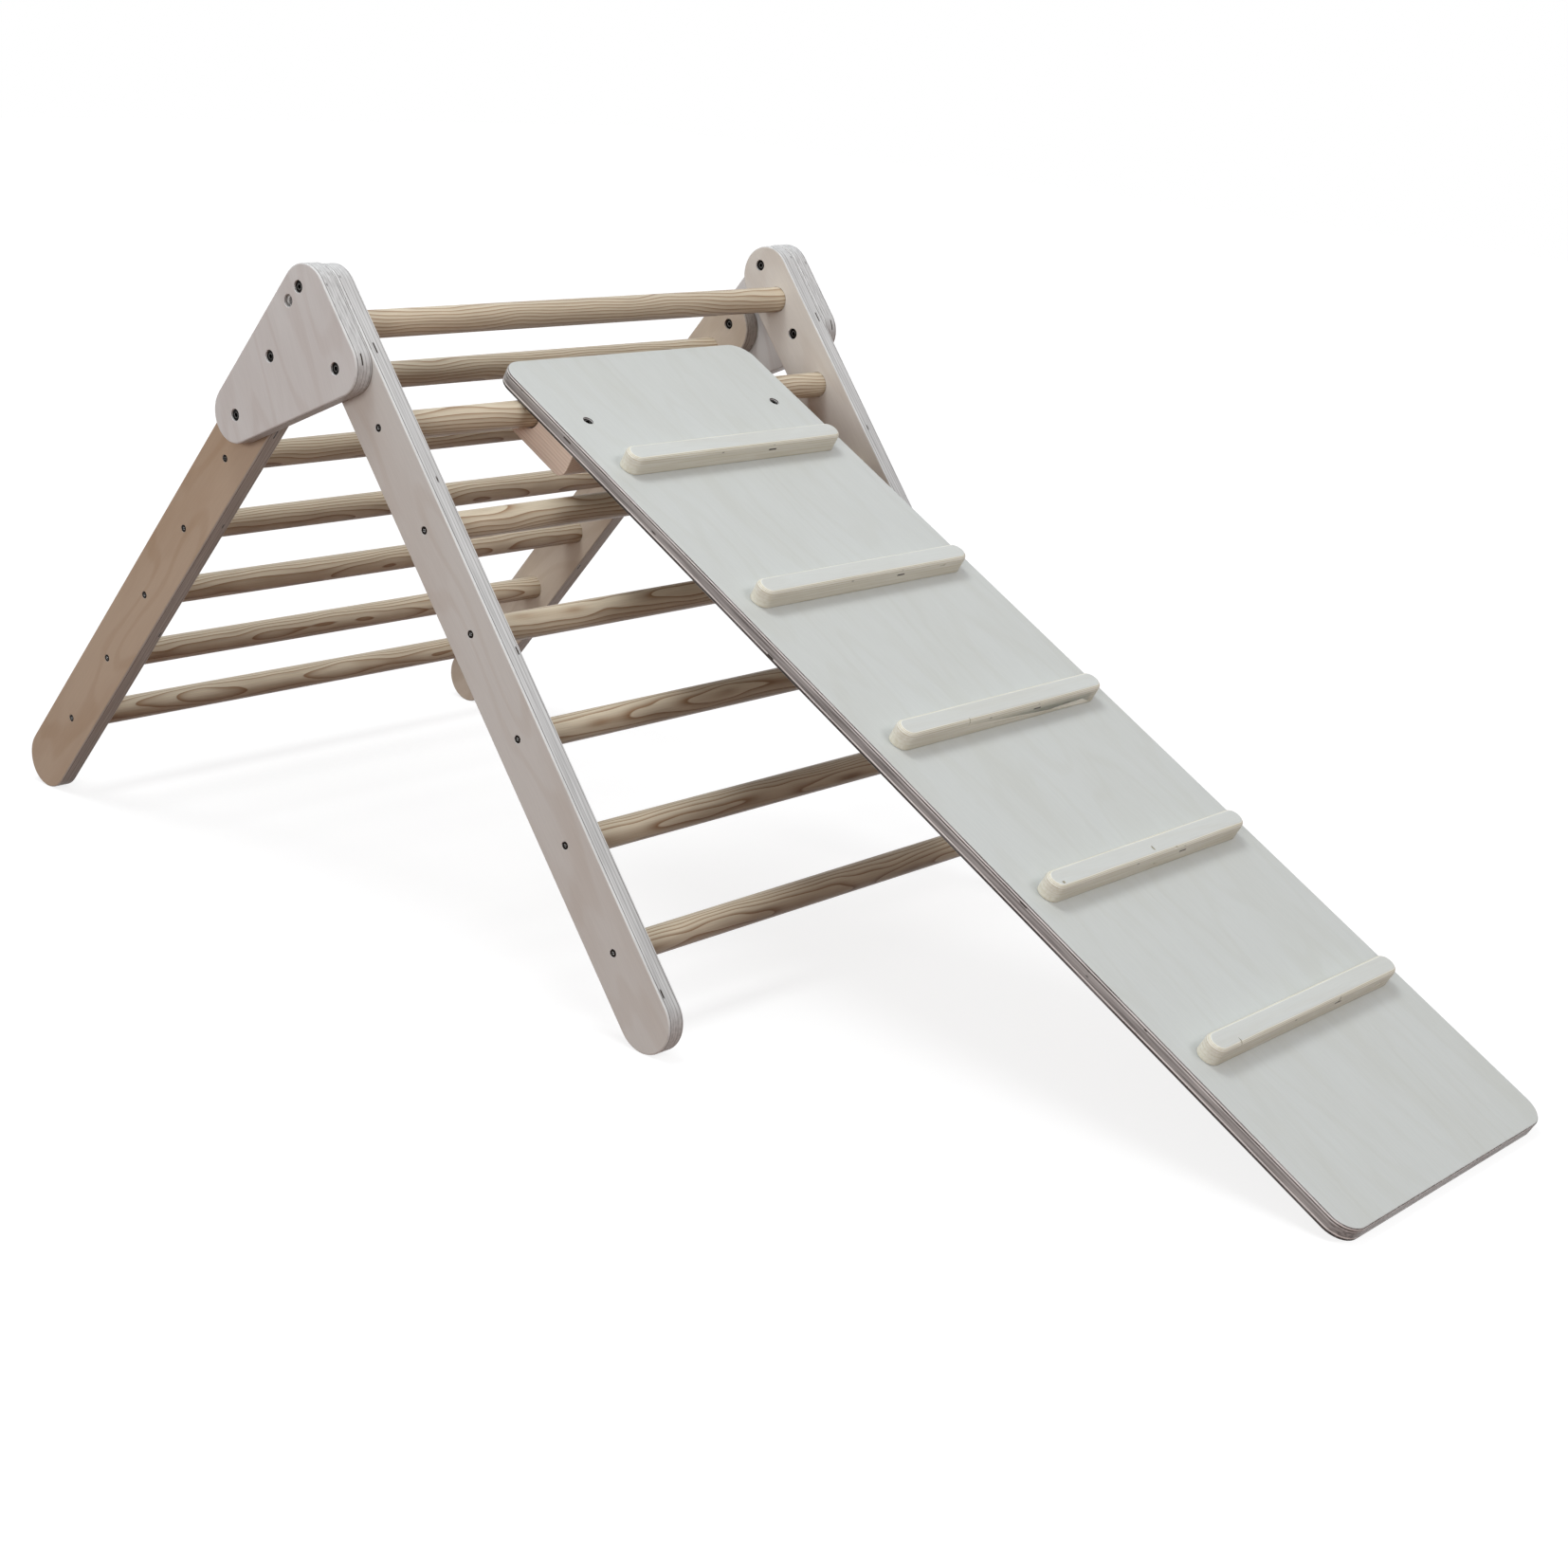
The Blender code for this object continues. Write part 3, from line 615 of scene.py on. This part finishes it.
# Rungs: thirteen turned dowels of a ringed softwood, seated in the rails' sockets.
# The lacquer is a little glossier here, and the growth rings run out in long loops.
RUNG_SIDES = 56
RUNG_END_EASED = 0.0008
RUNG_END_STEPS = 2
RUNG_LIGHT = (0.64, 0.56, 0.43)
RUNG_LATE = (0.22, 0.10, 0.033)
RUNG_RING = 0.0032
RUNG_WANDER = 0.024
RUNG_PITH = (-0.20, 0, 0.16)
RUNG_LEAN = (0.02, 0.015, math.pi / 2)
RUNG_GLOSS = 0.12
RUNG_ROUGHNESS = 0.36
SWAY_GRAIN = (6, 20, 20)
SWAY_ROUGHNESS = 0.4
RING_POWER = 2.8
RING_ENDS = 0.93
STRAND_GRAIN = (30, 1100, 1100)
TONE_GRAIN = (3, 9, 9)
TONE_DARK, TONE_LIGHT = 0.86, 1.06
STRAND_DARK, STRAND_LIGHT = 0.93, 1.05
RING_SHEEN = 0.06
STRAND_RELIEF = 0.4
RING_RELIEF = 0.3
WOOD_RELIEF = 0.35

rings, given, result = shader_group(
    "growth_rings",
    {"Wood": "Vector", "Ring": "Float", "Wander": "Float"},
    {"Late": "Float", "Fibre": "Float", "Tone": "Float"},
)
axes = add_node(rings, "SeparateXYZ", {0: given["Wood"]}).outputs
squares = [calc(rings, "MULTIPLY", axis, axis) for axis in (axes[1], axes[2])]
out = calc(rings, "SQRT", calc(rings, "ADD", *squares))
sway = stretched(rings, given["Wood"], SWAY_GRAIN)
sway = noise(rings, sway, detail=2, roughness=SWAY_ROUGHNESS)
sway = calc(rings, "MULTIPLY", calc(rings, "SUBTRACT", sway, 0.5), given["Wander"])
out = calc(rings, "ADD", out, sway)
phase = calc(rings, "FRACT", calc(rings, "DIVIDE", out, given["Ring"]))
late = calc(rings, "POWER", phase, RING_POWER)
late = calc(rings, "MULTIPLY", late, between(rings, phase, 1.0, RING_ENDS))
fibre = noise(rings, stretched(rings, given["Wood"], STRAND_GRAIN), detail=2)
tone = noise(rings, stretched(rings, given["Wood"], TONE_GRAIN), detail=1)
rings.links.new(late, result["Late"])
rings.links.new(fibre, result["Fibre"])
rings.links.new(tone, result["Tone"])


def solid_wood(name, pith, turn, ring, wander, light, late, roughness, strength=1.0, gloss=GLOSS):
    """Clear-lacquered solid wood; X of the turned frame runs along its fibres."""
    material = bpy.data.materials.new(name)
    material.use_nodes = True
    tree = material.node_tree
    surface = tree.nodes["Principled BSDF"]
    surface.inputs["Specular IOR Level"].default_value = gloss
    position = add_node(tree, "TexCoord").outputs["Object"]
    laying = {"Vector": position, "Location": pith, "Rotation": turn}
    laid = add_node(tree, "Mapping", laying, vector_type="TEXTURE").outputs[0]
    grain = add_node(tree, "Group", node_tree=rings)
    tree.links.new(laid, grain.inputs["Wood"])
    grain.inputs["Ring"].default_value = ring
    grain.inputs["Wander"].default_value = wander
    grain = grain.outputs
    lines = calc(tree, "MULTIPLY", grain["Late"], strength)
    warmth = between(tree, grain["Tone"], *NOISE_SPAN, TONE_DARK, TONE_LIGHT)
    fibres = between(tree, grain["Fibre"], *NOISE_SPAN, STRAND_DARK, STRAND_LIGHT)
    colour = {0: blend(tree, lines, light, late), 3: calc(tree, "MULTIPLY", warmth, fibres)}
    colour = add_node(tree, "VectorMath", colour, operation="SCALE").outputs[0]
    tree.links.new(colour, surface.inputs["Base Color"])
    sheen = between(tree, lines, 0, 1, roughness, roughness - RING_SHEEN)
    tree.links.new(sheen, surface.inputs["Roughness"])
    strands = calc(tree, "MULTIPLY", grain["Fibre"], STRAND_RELIEF)
    relief = {"Height": calc(tree, "ADD", strands, calc(tree, "MULTIPLY", lines, RING_RELIEF))}
    bump = add_node(tree, "Bump", {**relief, "Strength": WOOD_RELIEF, "Distance": RELIEF_DEPTH})
    tree.links.new(bump.outputs[0], surface.inputs["Normal"])
    return material


rung_wood = solid_wood("rung_wood", RUNG_PITH, RUNG_LEAN, RUNG_RING, RUNG_WANDER, RUNG_LIGHT,
                       RUNG_LATE, RUNG_ROUGHNESS, gloss=RUNG_GLOSS)
form = bmesh.new()
rung_length = 2 * (socket_floor - PLAY)
rung_end = rung_length / 2 - SAME_POINT
bmesh.ops.create_cone(form, cap_ends=True, segments=RUNG_SIDES, radius1=RUNG_DIAMETER / 2,
                      radius2=RUNG_DIAMETER / 2, depth=rung_length, matrix=sideways)
ends = [edge for edge in form.edges if all(abs(v.co.y) > rung_end for v in edge.verts)]
bmesh.ops.bevel(form, geom=ends, offset=RUNG_END_EASED, segments=RUNG_END_STEPS, profile=0.5,
                affect="EDGES", material=-1, clamp_overlap=True)
dowel = to_mesh(form, "dowel")
for node in front_rungs + back_rungs:
    mesh = placed(dowel, Matrix.Translation(middle(node)))
    fit(node.replace("rung", "dowel"), mesh, rung_wood, node)


# Connector bolts: black steel, with a hexagon socket in the head and in the sleeve nut, and a
# painted glint on each head.
# Three a side are complete; the lock bolt comes out before folding, so its nut stays in the rail.
SOCKET = 0.0040
SOCKET_FLOOR = 0.0015
HEAD_EASED = 0.0004
BOLT_SIDES = 40
BLACKENED = (0.008, 0.007, 0.006)
# A bright ring on each bolt head, broken into patches by the smudge noise, is a painted glint.
BOLT_PAINTED_GLINT = (0.30, 0.29, 0.28)
BOLT_GLINT_FROM = 0.0021
BOLT_GLINT_TO = 0.0027
SMUDGE_GRAIN = (330, 330, 330)
GLINT_PATCH_SPAN = (0.38, 0.52)
STEEL_ROUGHNESS = (0.25, 0.5)
GLINT_FADE_IN, GLINT_FADE_OUT = 0.0003, 0.0004
GLINT_LEAST = 0.25
STEEL_RELIEF = 0.2
STEEL_RELIEF_DEPTH = 0.0001


def steel(name, dark, glint_colour, start, end):
    """Turned steel, dark but for a painted glint: a ring of its head, in patches, is coloured
    bright.
    """
    material = bpy.data.materials.new(name)
    material.use_nodes = True
    tree = material.node_tree
    surface = tree.nodes["Principled BSDF"]
    surface.inputs["Metallic"].default_value = 1
    sources = add_node(tree, "TexCoord").outputs
    smudges = noise(tree, stretched(tree, sources["Object"], SMUDGE_GRAIN), detail=3)
    out = add_node(tree, "VectorMath", {0: sources["UV"]}, operation="LENGTH").outputs["Value"]
    within = between(tree, out, end, end - GLINT_FADE_OUT)
    ring = calc(tree, "MULTIPLY", between(tree, out, start, start + GLINT_FADE_IN), within)
    glint_mask = calc(tree, "MULTIPLY", ring, between(tree, smudges, *GLINT_PATCH_SPAN, GLINT_LEAST, 1))
    tree.links.new(blend(tree, glint_mask, dark, glint_colour), surface.inputs["Base Color"])
    sheen = between(tree, smudges, *NOISE_SPAN, *STEEL_ROUGHNESS)
    tree.links.new(sheen, surface.inputs["Roughness"])
    relief = {"Height": smudges, "Strength": STEEL_RELIEF, "Distance": STEEL_RELIEF_DEPTH}
    tree.links.new(add_node(tree, "Bump", relief).outputs[0], surface.inputs["Normal"])
    return material


bolt_steel = steel("blackened_steel", BLACKENED, BOLT_PAINTED_GLINT, BOLT_GLINT_FROM, BOLT_GLINT_TO)


def turned(name, profile, sides):
    """A turned body with flat ends from (radius, height) points. Its UV map is its plan."""
    form = bmesh.new()
    points = [form.verts.new((radius, 0, height)) for radius, height in profile]
    edges = [form.edges.new(pair) for pair in zip(points, points[1:])]
    bmesh.ops.spin(form, geom=points + edges, cent=(0, 0, 0), axis=(0, 0, 1), angle=math.tau,
                   steps=sides, use_merge=True)
    bmesh.ops.holes_fill(form, edges=[edge for edge in form.edges if edge.is_boundary], sides=sides)
    plan = form.loops.layers.uv.new("plan")
    for face in form.faces:
        for corner in face.loops:
            corner[plan].uv = corner.vert.co.to_2d()
    return to_mesh(form, name)


def hexagon(low, high):
    """A cutter for a hexagon socket."""
    form = bmesh.new()
    radius = SOCKET / 2 / math.cos(math.pi / 6)
    bmesh.ops.create_cone(form, cap_ends=True, segments=6, radius1=radius, radius2=radius,
                          depth=high - low, matrix=Matrix.Translation((0, 0, (low + high) / 2)))
    return to_mesh(form, "hexagon")


def head_profile(top, under, diameter):
    """Rim of a round bolt head, from its underside to its eased top."""
    radius = diameter / 2
    return [(radius, under), (radius, top - HEAD_EASED), (radius - HEAD_EASED, top)]


def standing(node):
    """Matrix that turns a left side's pin outwards along Y, through a node's middle."""
    spot = middle(node)
    return Matrix.Translation((spot.x, 0, spot.z)) @ sideways


bolt_top = gusset_outer - BOLT_SINK
bolt_under = bolt_top - BOLT_HEAD_HEIGHT
nut_top = rail_inner + BOLT_SINK
nut_under = nut_top + BOLT_HEAD_HEIGHT
shank = BOLT_SHANK / 2
radius = BOLT_HEAD / 2
nut_profile = [(radius - HEAD_EASED, nut_top), (radius, nut_top + HEAD_EASED),
               (radius, nut_under), (shank, nut_under)]
bolt_profile = [(shank, bolt_under), *head_profile(bolt_top, bolt_under, BOLT_HEAD)]
lock_profile = [(shank, gusset_inner), *bolt_profile]
lock_nut_profile = [*nut_profile, (shank, rail_outer - PLAY)]
bolt_socket = hexagon(bolt_top - SOCKET_FLOOR, bolt_top + OVERRUN)
nut_socket = hexagon(nut_top - OVERRUN, nut_top + SOCKET_FLOOR)
connector = turned("connector", nut_profile + bolt_profile, BOLT_SIDES)
connector = cut(connector, bolt_socket.copy(), nut_socket.copy())
lock_bolt = cut(turned("lock_bolt", lock_profile, BOLT_SIDES), bolt_socket)
lock_nut = cut(turned("lock_nut", lock_nut_profile, BOLT_SIDES), nut_socket)
for side in ("left", "right"):
    for use in uses:
        node = f"{use}_bolt_{side}"
        shape = lock_bolt if use == "lock" else connector
        mesh = placed(shape, standing(node), side == "right")
        fit(f"{side}_{use}_connector", mesh, bolt_steel, node)
    mesh = placed(lock_nut, standing("lock_bolt_" + side), side == "right")
    fit(f"{side}_lock_nut", mesh, bolt_steel, "back_rail_" + side, hides=False)


# Rung screws: countersunk, zinc plated and dull, one through the rail into each rung's end.
# Their cross recesses are dark, the heads sit just under the face, and each head is near black but
# for a painted highlight in its middle.
RECESS = (0.0040, 0.0009, 0.0030)
SCREW_GRIP = 0.026
SCREW_DARK = (0.012, 0.009, 0.007)
# The bright middle of each screw head is a painted highlight.
SCREW_PAINTED_HIGHLIGHT = (0.75, 0.74, 0.72)
SCREW_HIGHLIGHT_FROM = 0.0002
SCREW_HIGHLIGHT_TO = 0.0015
SCREW_SIDES = 28

screw_steel = steel("dull_zinc", SCREW_DARK, SCREW_PAINTED_HIGHLIGHT, SCREW_HIGHLIGHT_FROM, SCREW_HIGHLIGHT_TO)
screw_top = rail_outer - SCREW_SINK
profile = [(SCREW_SHANK / 2, socket_floor - SCREW_GRIP),
           (SCREW_SHANK / 2, screw_top - SCREW_CONE),
           (SCREW_HEAD / 2, screw_top)]
slots = []
for turn in (0, math.pi / 2):
    form = bmesh.new()
    shape = Matrix.Rotation(turn, 4, "Z") @ Matrix.Diagonal((*RECESS, 1))
    shape = Matrix.Translation((0, 0, screw_top)) @ shape
    bmesh.ops.create_cube(form, size=1, matrix=shape)
    slots.append(to_mesh(form, "slot"))
screw = cut(turned("screw", profile, SCREW_SIDES), *slots)
for node in front_screws + back_screws:
    for side in ("left", "right"):
        twin = node.replace("left", side)
        mesh = placed(screw, standing(twin), side == "right")
        fit(twin.replace("screw", "fixing"), mesh, screw_steel, twin)


# Ramp panel: one sheet of pale birch plywood with rounded corners and eased edges.
# It lies on the second rung of the front ladder and its foot stands on the floor.
RAMP_WIDTH = 0.328
RAMP_THICKNESS = 0.015
RAMP_CORNER = 0.022
# Tones of the plies from the underside up; the near-black band over the lowest 18 % is painted
# shade under the eased lower edge, not a ply.
RAMP_LAYERS_AND_PAINTED_SHADE = (
    (0, 1), (0.18, 1), (0.20, 0.15), (0.28, 0.15), (0.30, 0.78), (0.39, 0.66), (0.42, 0.8),
    (0.45, 0.66), (0.56, 0.66), (0.59, 0.82), (0.62, 0.66), (0.68, 0.72), (0.70, 0.35),
    (0.76, 0.35), (0.78, 1), (0.84, 1), (0.86, 0), (0.925, 0), (0.935, 0.9), (0.975, 0.9), (1, 0),
)
RAMP_EDGE_TONES_AND_PAINTED_SHADE = ((0.86, 0.84, 0.84), (0.04, 0.03, 0.027))
RAMP_VENEER = ((0.535, 0.555, 0.54), (0.515, 0.53, 0.505))
RAMP_ROUGHNESS = 0.38
HOOK_BOLT_HEAD = 0.0096
HOOK_BOLT_SHANK = 0.0056
HOOK_BOLT_GRIP = 0.026

ramp_axis = middle("front_rung_2")
ramp_axis.y = 0
panel_low, panel_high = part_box("ramp_panel")
ramp_middle = (panel_low.y + panel_high.y) / 2
ramp_under = RUNG_DIAMETER / 2 + PLAY
ramp_top = ramp_under + RAMP_THICKNESS
first_cleat, last_cleat = middle("ramp_cleat_1"), middle("ramp_cleat_5")
ramp_slope = math.atan2(first_cleat.z - last_cleat.z, last_cleat.x - first_cleat.x)
ramp_place = Matrix.Translation(ramp_axis) @ Matrix.Rotation(ramp_slope, 4, "Y")
panel_points = [ramp_place.inverted() @ v.co for v in frame["nodes"]["ramp_panel"].data.vertices]
ramp_start = min(point.x for point in panel_points)
ramp_end = max(point.x for point in panel_points)


def ramp_spot(node):
    """A node's middle in the ramp's own plane, down it and across it."""
    local = ramp_place.inverted() @ middle(node)
    return Vector((local.x, local.y))


left_edge = ramp_middle - RAMP_WIDTH / 2
right_edge = ramp_middle + RAMP_WIDTH / 2
outline = rectangle(ramp_start, ramp_end, left_edge, right_edge)
hook_bolts = [ramp_spot("hook_bolt_left"), ramp_spot("hook_bolt_right")]
head_seat = ramp_top - BOLT_SINK - BOLT_HEAD_HEIGHT - PLAY
panel = cut(
    board("panel", outline, [RAMP_CORNER] * 4, ramp_under, ramp_top, EASED, EASED),
    holes(hook_bolts, ramp_under - OVERRUN, ramp_top + OVERRUN, HOOK_BOLT_SHANK / 2 + PLAY),
    holes(hook_bolts, head_seat, ramp_top + OVERRUN, HOOK_BOLT_HEAD / 2 + PLAY),
)
ramp_plywood = plywood("ramp_plywood", ramp_place, 2, ramp_under, RAMP_THICKNESS, RAMP_LAYERS_AND_PAINTED_SHADE,
                       RAMP_EDGE_TONES_AND_PAINTED_SHADE, RAMP_VENEER, RAMP_ROUGHNESS)
fit("climbing_board", placed(panel, ramp_place), ramp_plywood, "ramp_panel")


# Cleats: five plywood strips with half-round ends and well-rounded upper edges.
# Hand shaping bares the plies in wandering lines. They are glued across and show no fastener.
CLEAT_WIDTH = 0.021
CLEAT_LENGTH = 0.285
CLEAT_HEIGHT = 0.018
CLEAT_ROUND = 0.004
CLEAT_ROUND_STEPS = 6
CLEAT_LAYERS = (
    (0, 0.9), (0.03, 0.5), (0.10, 0.3), (0.26, 0.25), (0.29, 0.5), (0.32, 0.25), (0.47, 0.2),
    (0.50, 0.55), (0.53, 0.2), (0.66, 0.2), (0.68, 0.6), (0.70, 0.15), (0.80, 0.1), (0.81, 0.9),
    (0.83, 0.9), (0.84, 0.05), (0.90, 0), (0.907, 0.8), (0.922, 0.8), (0.93, 0), (0.95, 0),
    (0.955, 0.9), (0.967, 0.9), (0.972, 0), (1, 0),
)
CLEAT_EDGE = ((0.74, 0.735, 0.67), (0.50, 0.455, 0.31))
CLEAT_VENEER = ((0.58, 0.60, 0.58), (0.56, 0.57, 0.54))
CLEAT_ROUGHNESS = 0.44
CLEAT_DRIFT = 0.00012
# Cracks by cleat: place from the top's middle (down the ramp, across, up), size, lean in degrees
CRACKS = {
    2: [((0.0105, 0.1040, -0.0055), (0.0060, 0.0085, 0.0014), 6)],
    3: [((0.0105, 0.0885, -0.0120), (0.0090, 0.0520, 0.0016), 4),
        ((0.0105, -0.0580, -0.0020), (0.0080, 0.0012, 0.0090), 0)],
    4: [((0.0055, -0.1318, 0), (0.0030, 0.0035, 0.0090), 0),
        ((0.0031, 0.0003, 0), (0.0055, 0.0028, 0.0090), 0),
        ((0.0105, 0.0290, -0.0012), (0.0070, 0.0050, 0.0016), 5),
        ((0.0105, 0.0030, -0.0117), (0.0070, 0.0060, 0.0014), 0)],
    5: [((0.0085, -0.1110, 0), (0.0085, 0.0013, 0.0090), 0),
        ((0.0105, 0.0430, -0.0055), (0.0080, 0.0014, 0.0090), 0),
        ((0.0105, 0.1120, -0.0100), (0.0080, 0.0120, 0.0018), 8)],
}
CRACK_STEPS = 3

half_width, half_length = CLEAT_WIDTH / 2, CLEAT_LENGTH / 2
outline = rectangle(-half_width, half_width, -half_length, half_length)
cleat_bottom = ramp_top + PLAY
cleat_top = cleat_bottom + CLEAT_HEIGHT
cleat_place = ramp_place @ Matrix.Rotation(math.pi / 2, 4, "Z")
cleat_plywood = plywood("cleat_plywood", cleat_place, 2, cleat_bottom, CLEAT_HEIGHT, CLEAT_LAYERS,
                        CLEAT_EDGE, CLEAT_VENEER, CLEAT_ROUGHNESS, CLEAT_DRIFT)
strip = board("strip", outline, [half_width] * 4, cleat_bottom, cleat_top, 0, CLEAT_ROUND,
              CLEAT_ROUND_STEPS)
for i in range(1, 6):
    node = f"ramp_cleat_{i}"
    cracks = []
    for (x, y, z), size, lean in CRACKS.get(i, []):
        form = bmesh.new()
        shape = Matrix.Rotation(math.radians(lean), 4, "X") @ Matrix.Diagonal((*size, 1))
        shape = Matrix.Translation((x, y, cleat_top + z)) @ shape
        bmesh.ops.create_icosphere(form, subdivisions=CRACK_STEPS, radius=0.5, matrix=shape)
        cracks.append(to_mesh(form, "crack"))
    mesh = placed(cut(strip, *cracks), ramp_place @ Matrix.Translation((*ramp_spot(node), 0)))
    fit(f"climbing_strip_{i}", mesh, cleat_plywood, node)


# Hook blocks: two thick blocks under the panel, bolted through it, that reach round the rung.
# Each passes under the rung and is open towards the ramp's upper end.
HOOK_THICKNESS = 0.038
HOOK_DOWNHILL = 0.0660
HOOK_UPHILL = 0.022
HOOK_LIP = 0.013
HOOK_PLAY = 0.0015
HOOK_MOUTH_PLAY = 0.0006
HOOK_END_RADIUS = 0.012
HOOK_LIP_RADIUS = 0.006
HOOK_CORNER = 0.001
HOOK_LIGHT = (0.84, 0.71, 0.61)
HOOK_LATE = (0.62, 0.46, 0.36)
HOOK_PITH = (0.05, 0, -0.09)
HOOK_RING = 0.003
HOOK_WANDER = 0.006
HOOK_ROUGHNESS = 0.5
HOOK_RING_STRENGTH = 0.7

hook_wood = solid_wood("hook_wood", HOOK_PITH, ramp_place.to_euler(), HOOK_RING, HOOK_WANDER,
                       HOOK_LIGHT, HOOK_LATE, HOOK_ROUGHNESS, HOOK_RING_STRENGTH)
recess = RUNG_DIAMETER / 2 + HOOK_PLAY
block_top = ramp_under - PLAY
block_low = -recess - HOOK_LIP
lip_top = ramp_under - RUNG_DIAMETER - HOOK_MOUTH_PLAY
outline = rectangle(-HOOK_UPHILL, HOOK_DOWNHILL, block_low, block_top)
radii = (HOOK_LIP_RADIUS, HOOK_END_RADIUS, HOOK_CORNER, HOOK_CORNER)
blank = board("hook", outline, radii, -HOOK_THICKNESS / 2, HOOK_THICKNESS / 2, EASED, EASED)
form = bmesh.new()
mouth_low = Vector((-HOOK_UPHILL - OVERRUN, lip_top))
mouth_high = Vector((0, block_top + OVERRUN))
size, centre = mouth_high - mouth_low, (mouth_high + mouth_low) / 2
shape = Matrix.Translation((*centre, 0)) @ Matrix.Diagonal((*size, HOOK_THICKNESS + OVERRUN, 1))
bmesh.ops.create_cube(form, size=1, matrix=shape)
mouth = to_mesh(form, "mouth")
reach = HOOK_THICKNESS / 2 + OVERRUN
hook = cut(blank, holes([Vector((0, 0))], -reach, reach, recess), mouth)
hook.transform(sideways)
bolt_at = [Vector((hook_bolts[0].x, 0))]
bolt_end = ramp_under - HOOK_BOLT_GRIP
hook = cut(hook, holes(bolt_at, bolt_end - PLAY, ramp_top, HOOK_BOLT_SHANK / 2 + PLAY))
head_top = ramp_top - BOLT_SINK
head_under = head_top - BOLT_HEAD_HEIGHT
profile = [(HOOK_BOLT_SHANK / 2, bolt_end), (HOOK_BOLT_SHANK / 2, head_under),
           *head_profile(head_top, head_under, HOOK_BOLT_HEAD)]
hook_bolt = turned("hook_bolt", profile, BOLT_SIDES)
hook_bolt = cut(hook_bolt, hexagon(head_top - SOCKET_FLOOR, head_top + OVERRUN))
for side, spot in zip(("left", "right"), hook_bolts):
    mesh = placed(hook, ramp_place @ Matrix.Translation((0, spot.y, 0)))
    fit(side + "_hook_block", mesh, hook_wood, "ramp_hook_" + side)
    mesh = placed(hook_bolt, ramp_place @ Matrix.Translation((*spot, 0)))
    fit(side + "_hook_fixing", mesh, bolt_steel, "hook_bolt_" + side)
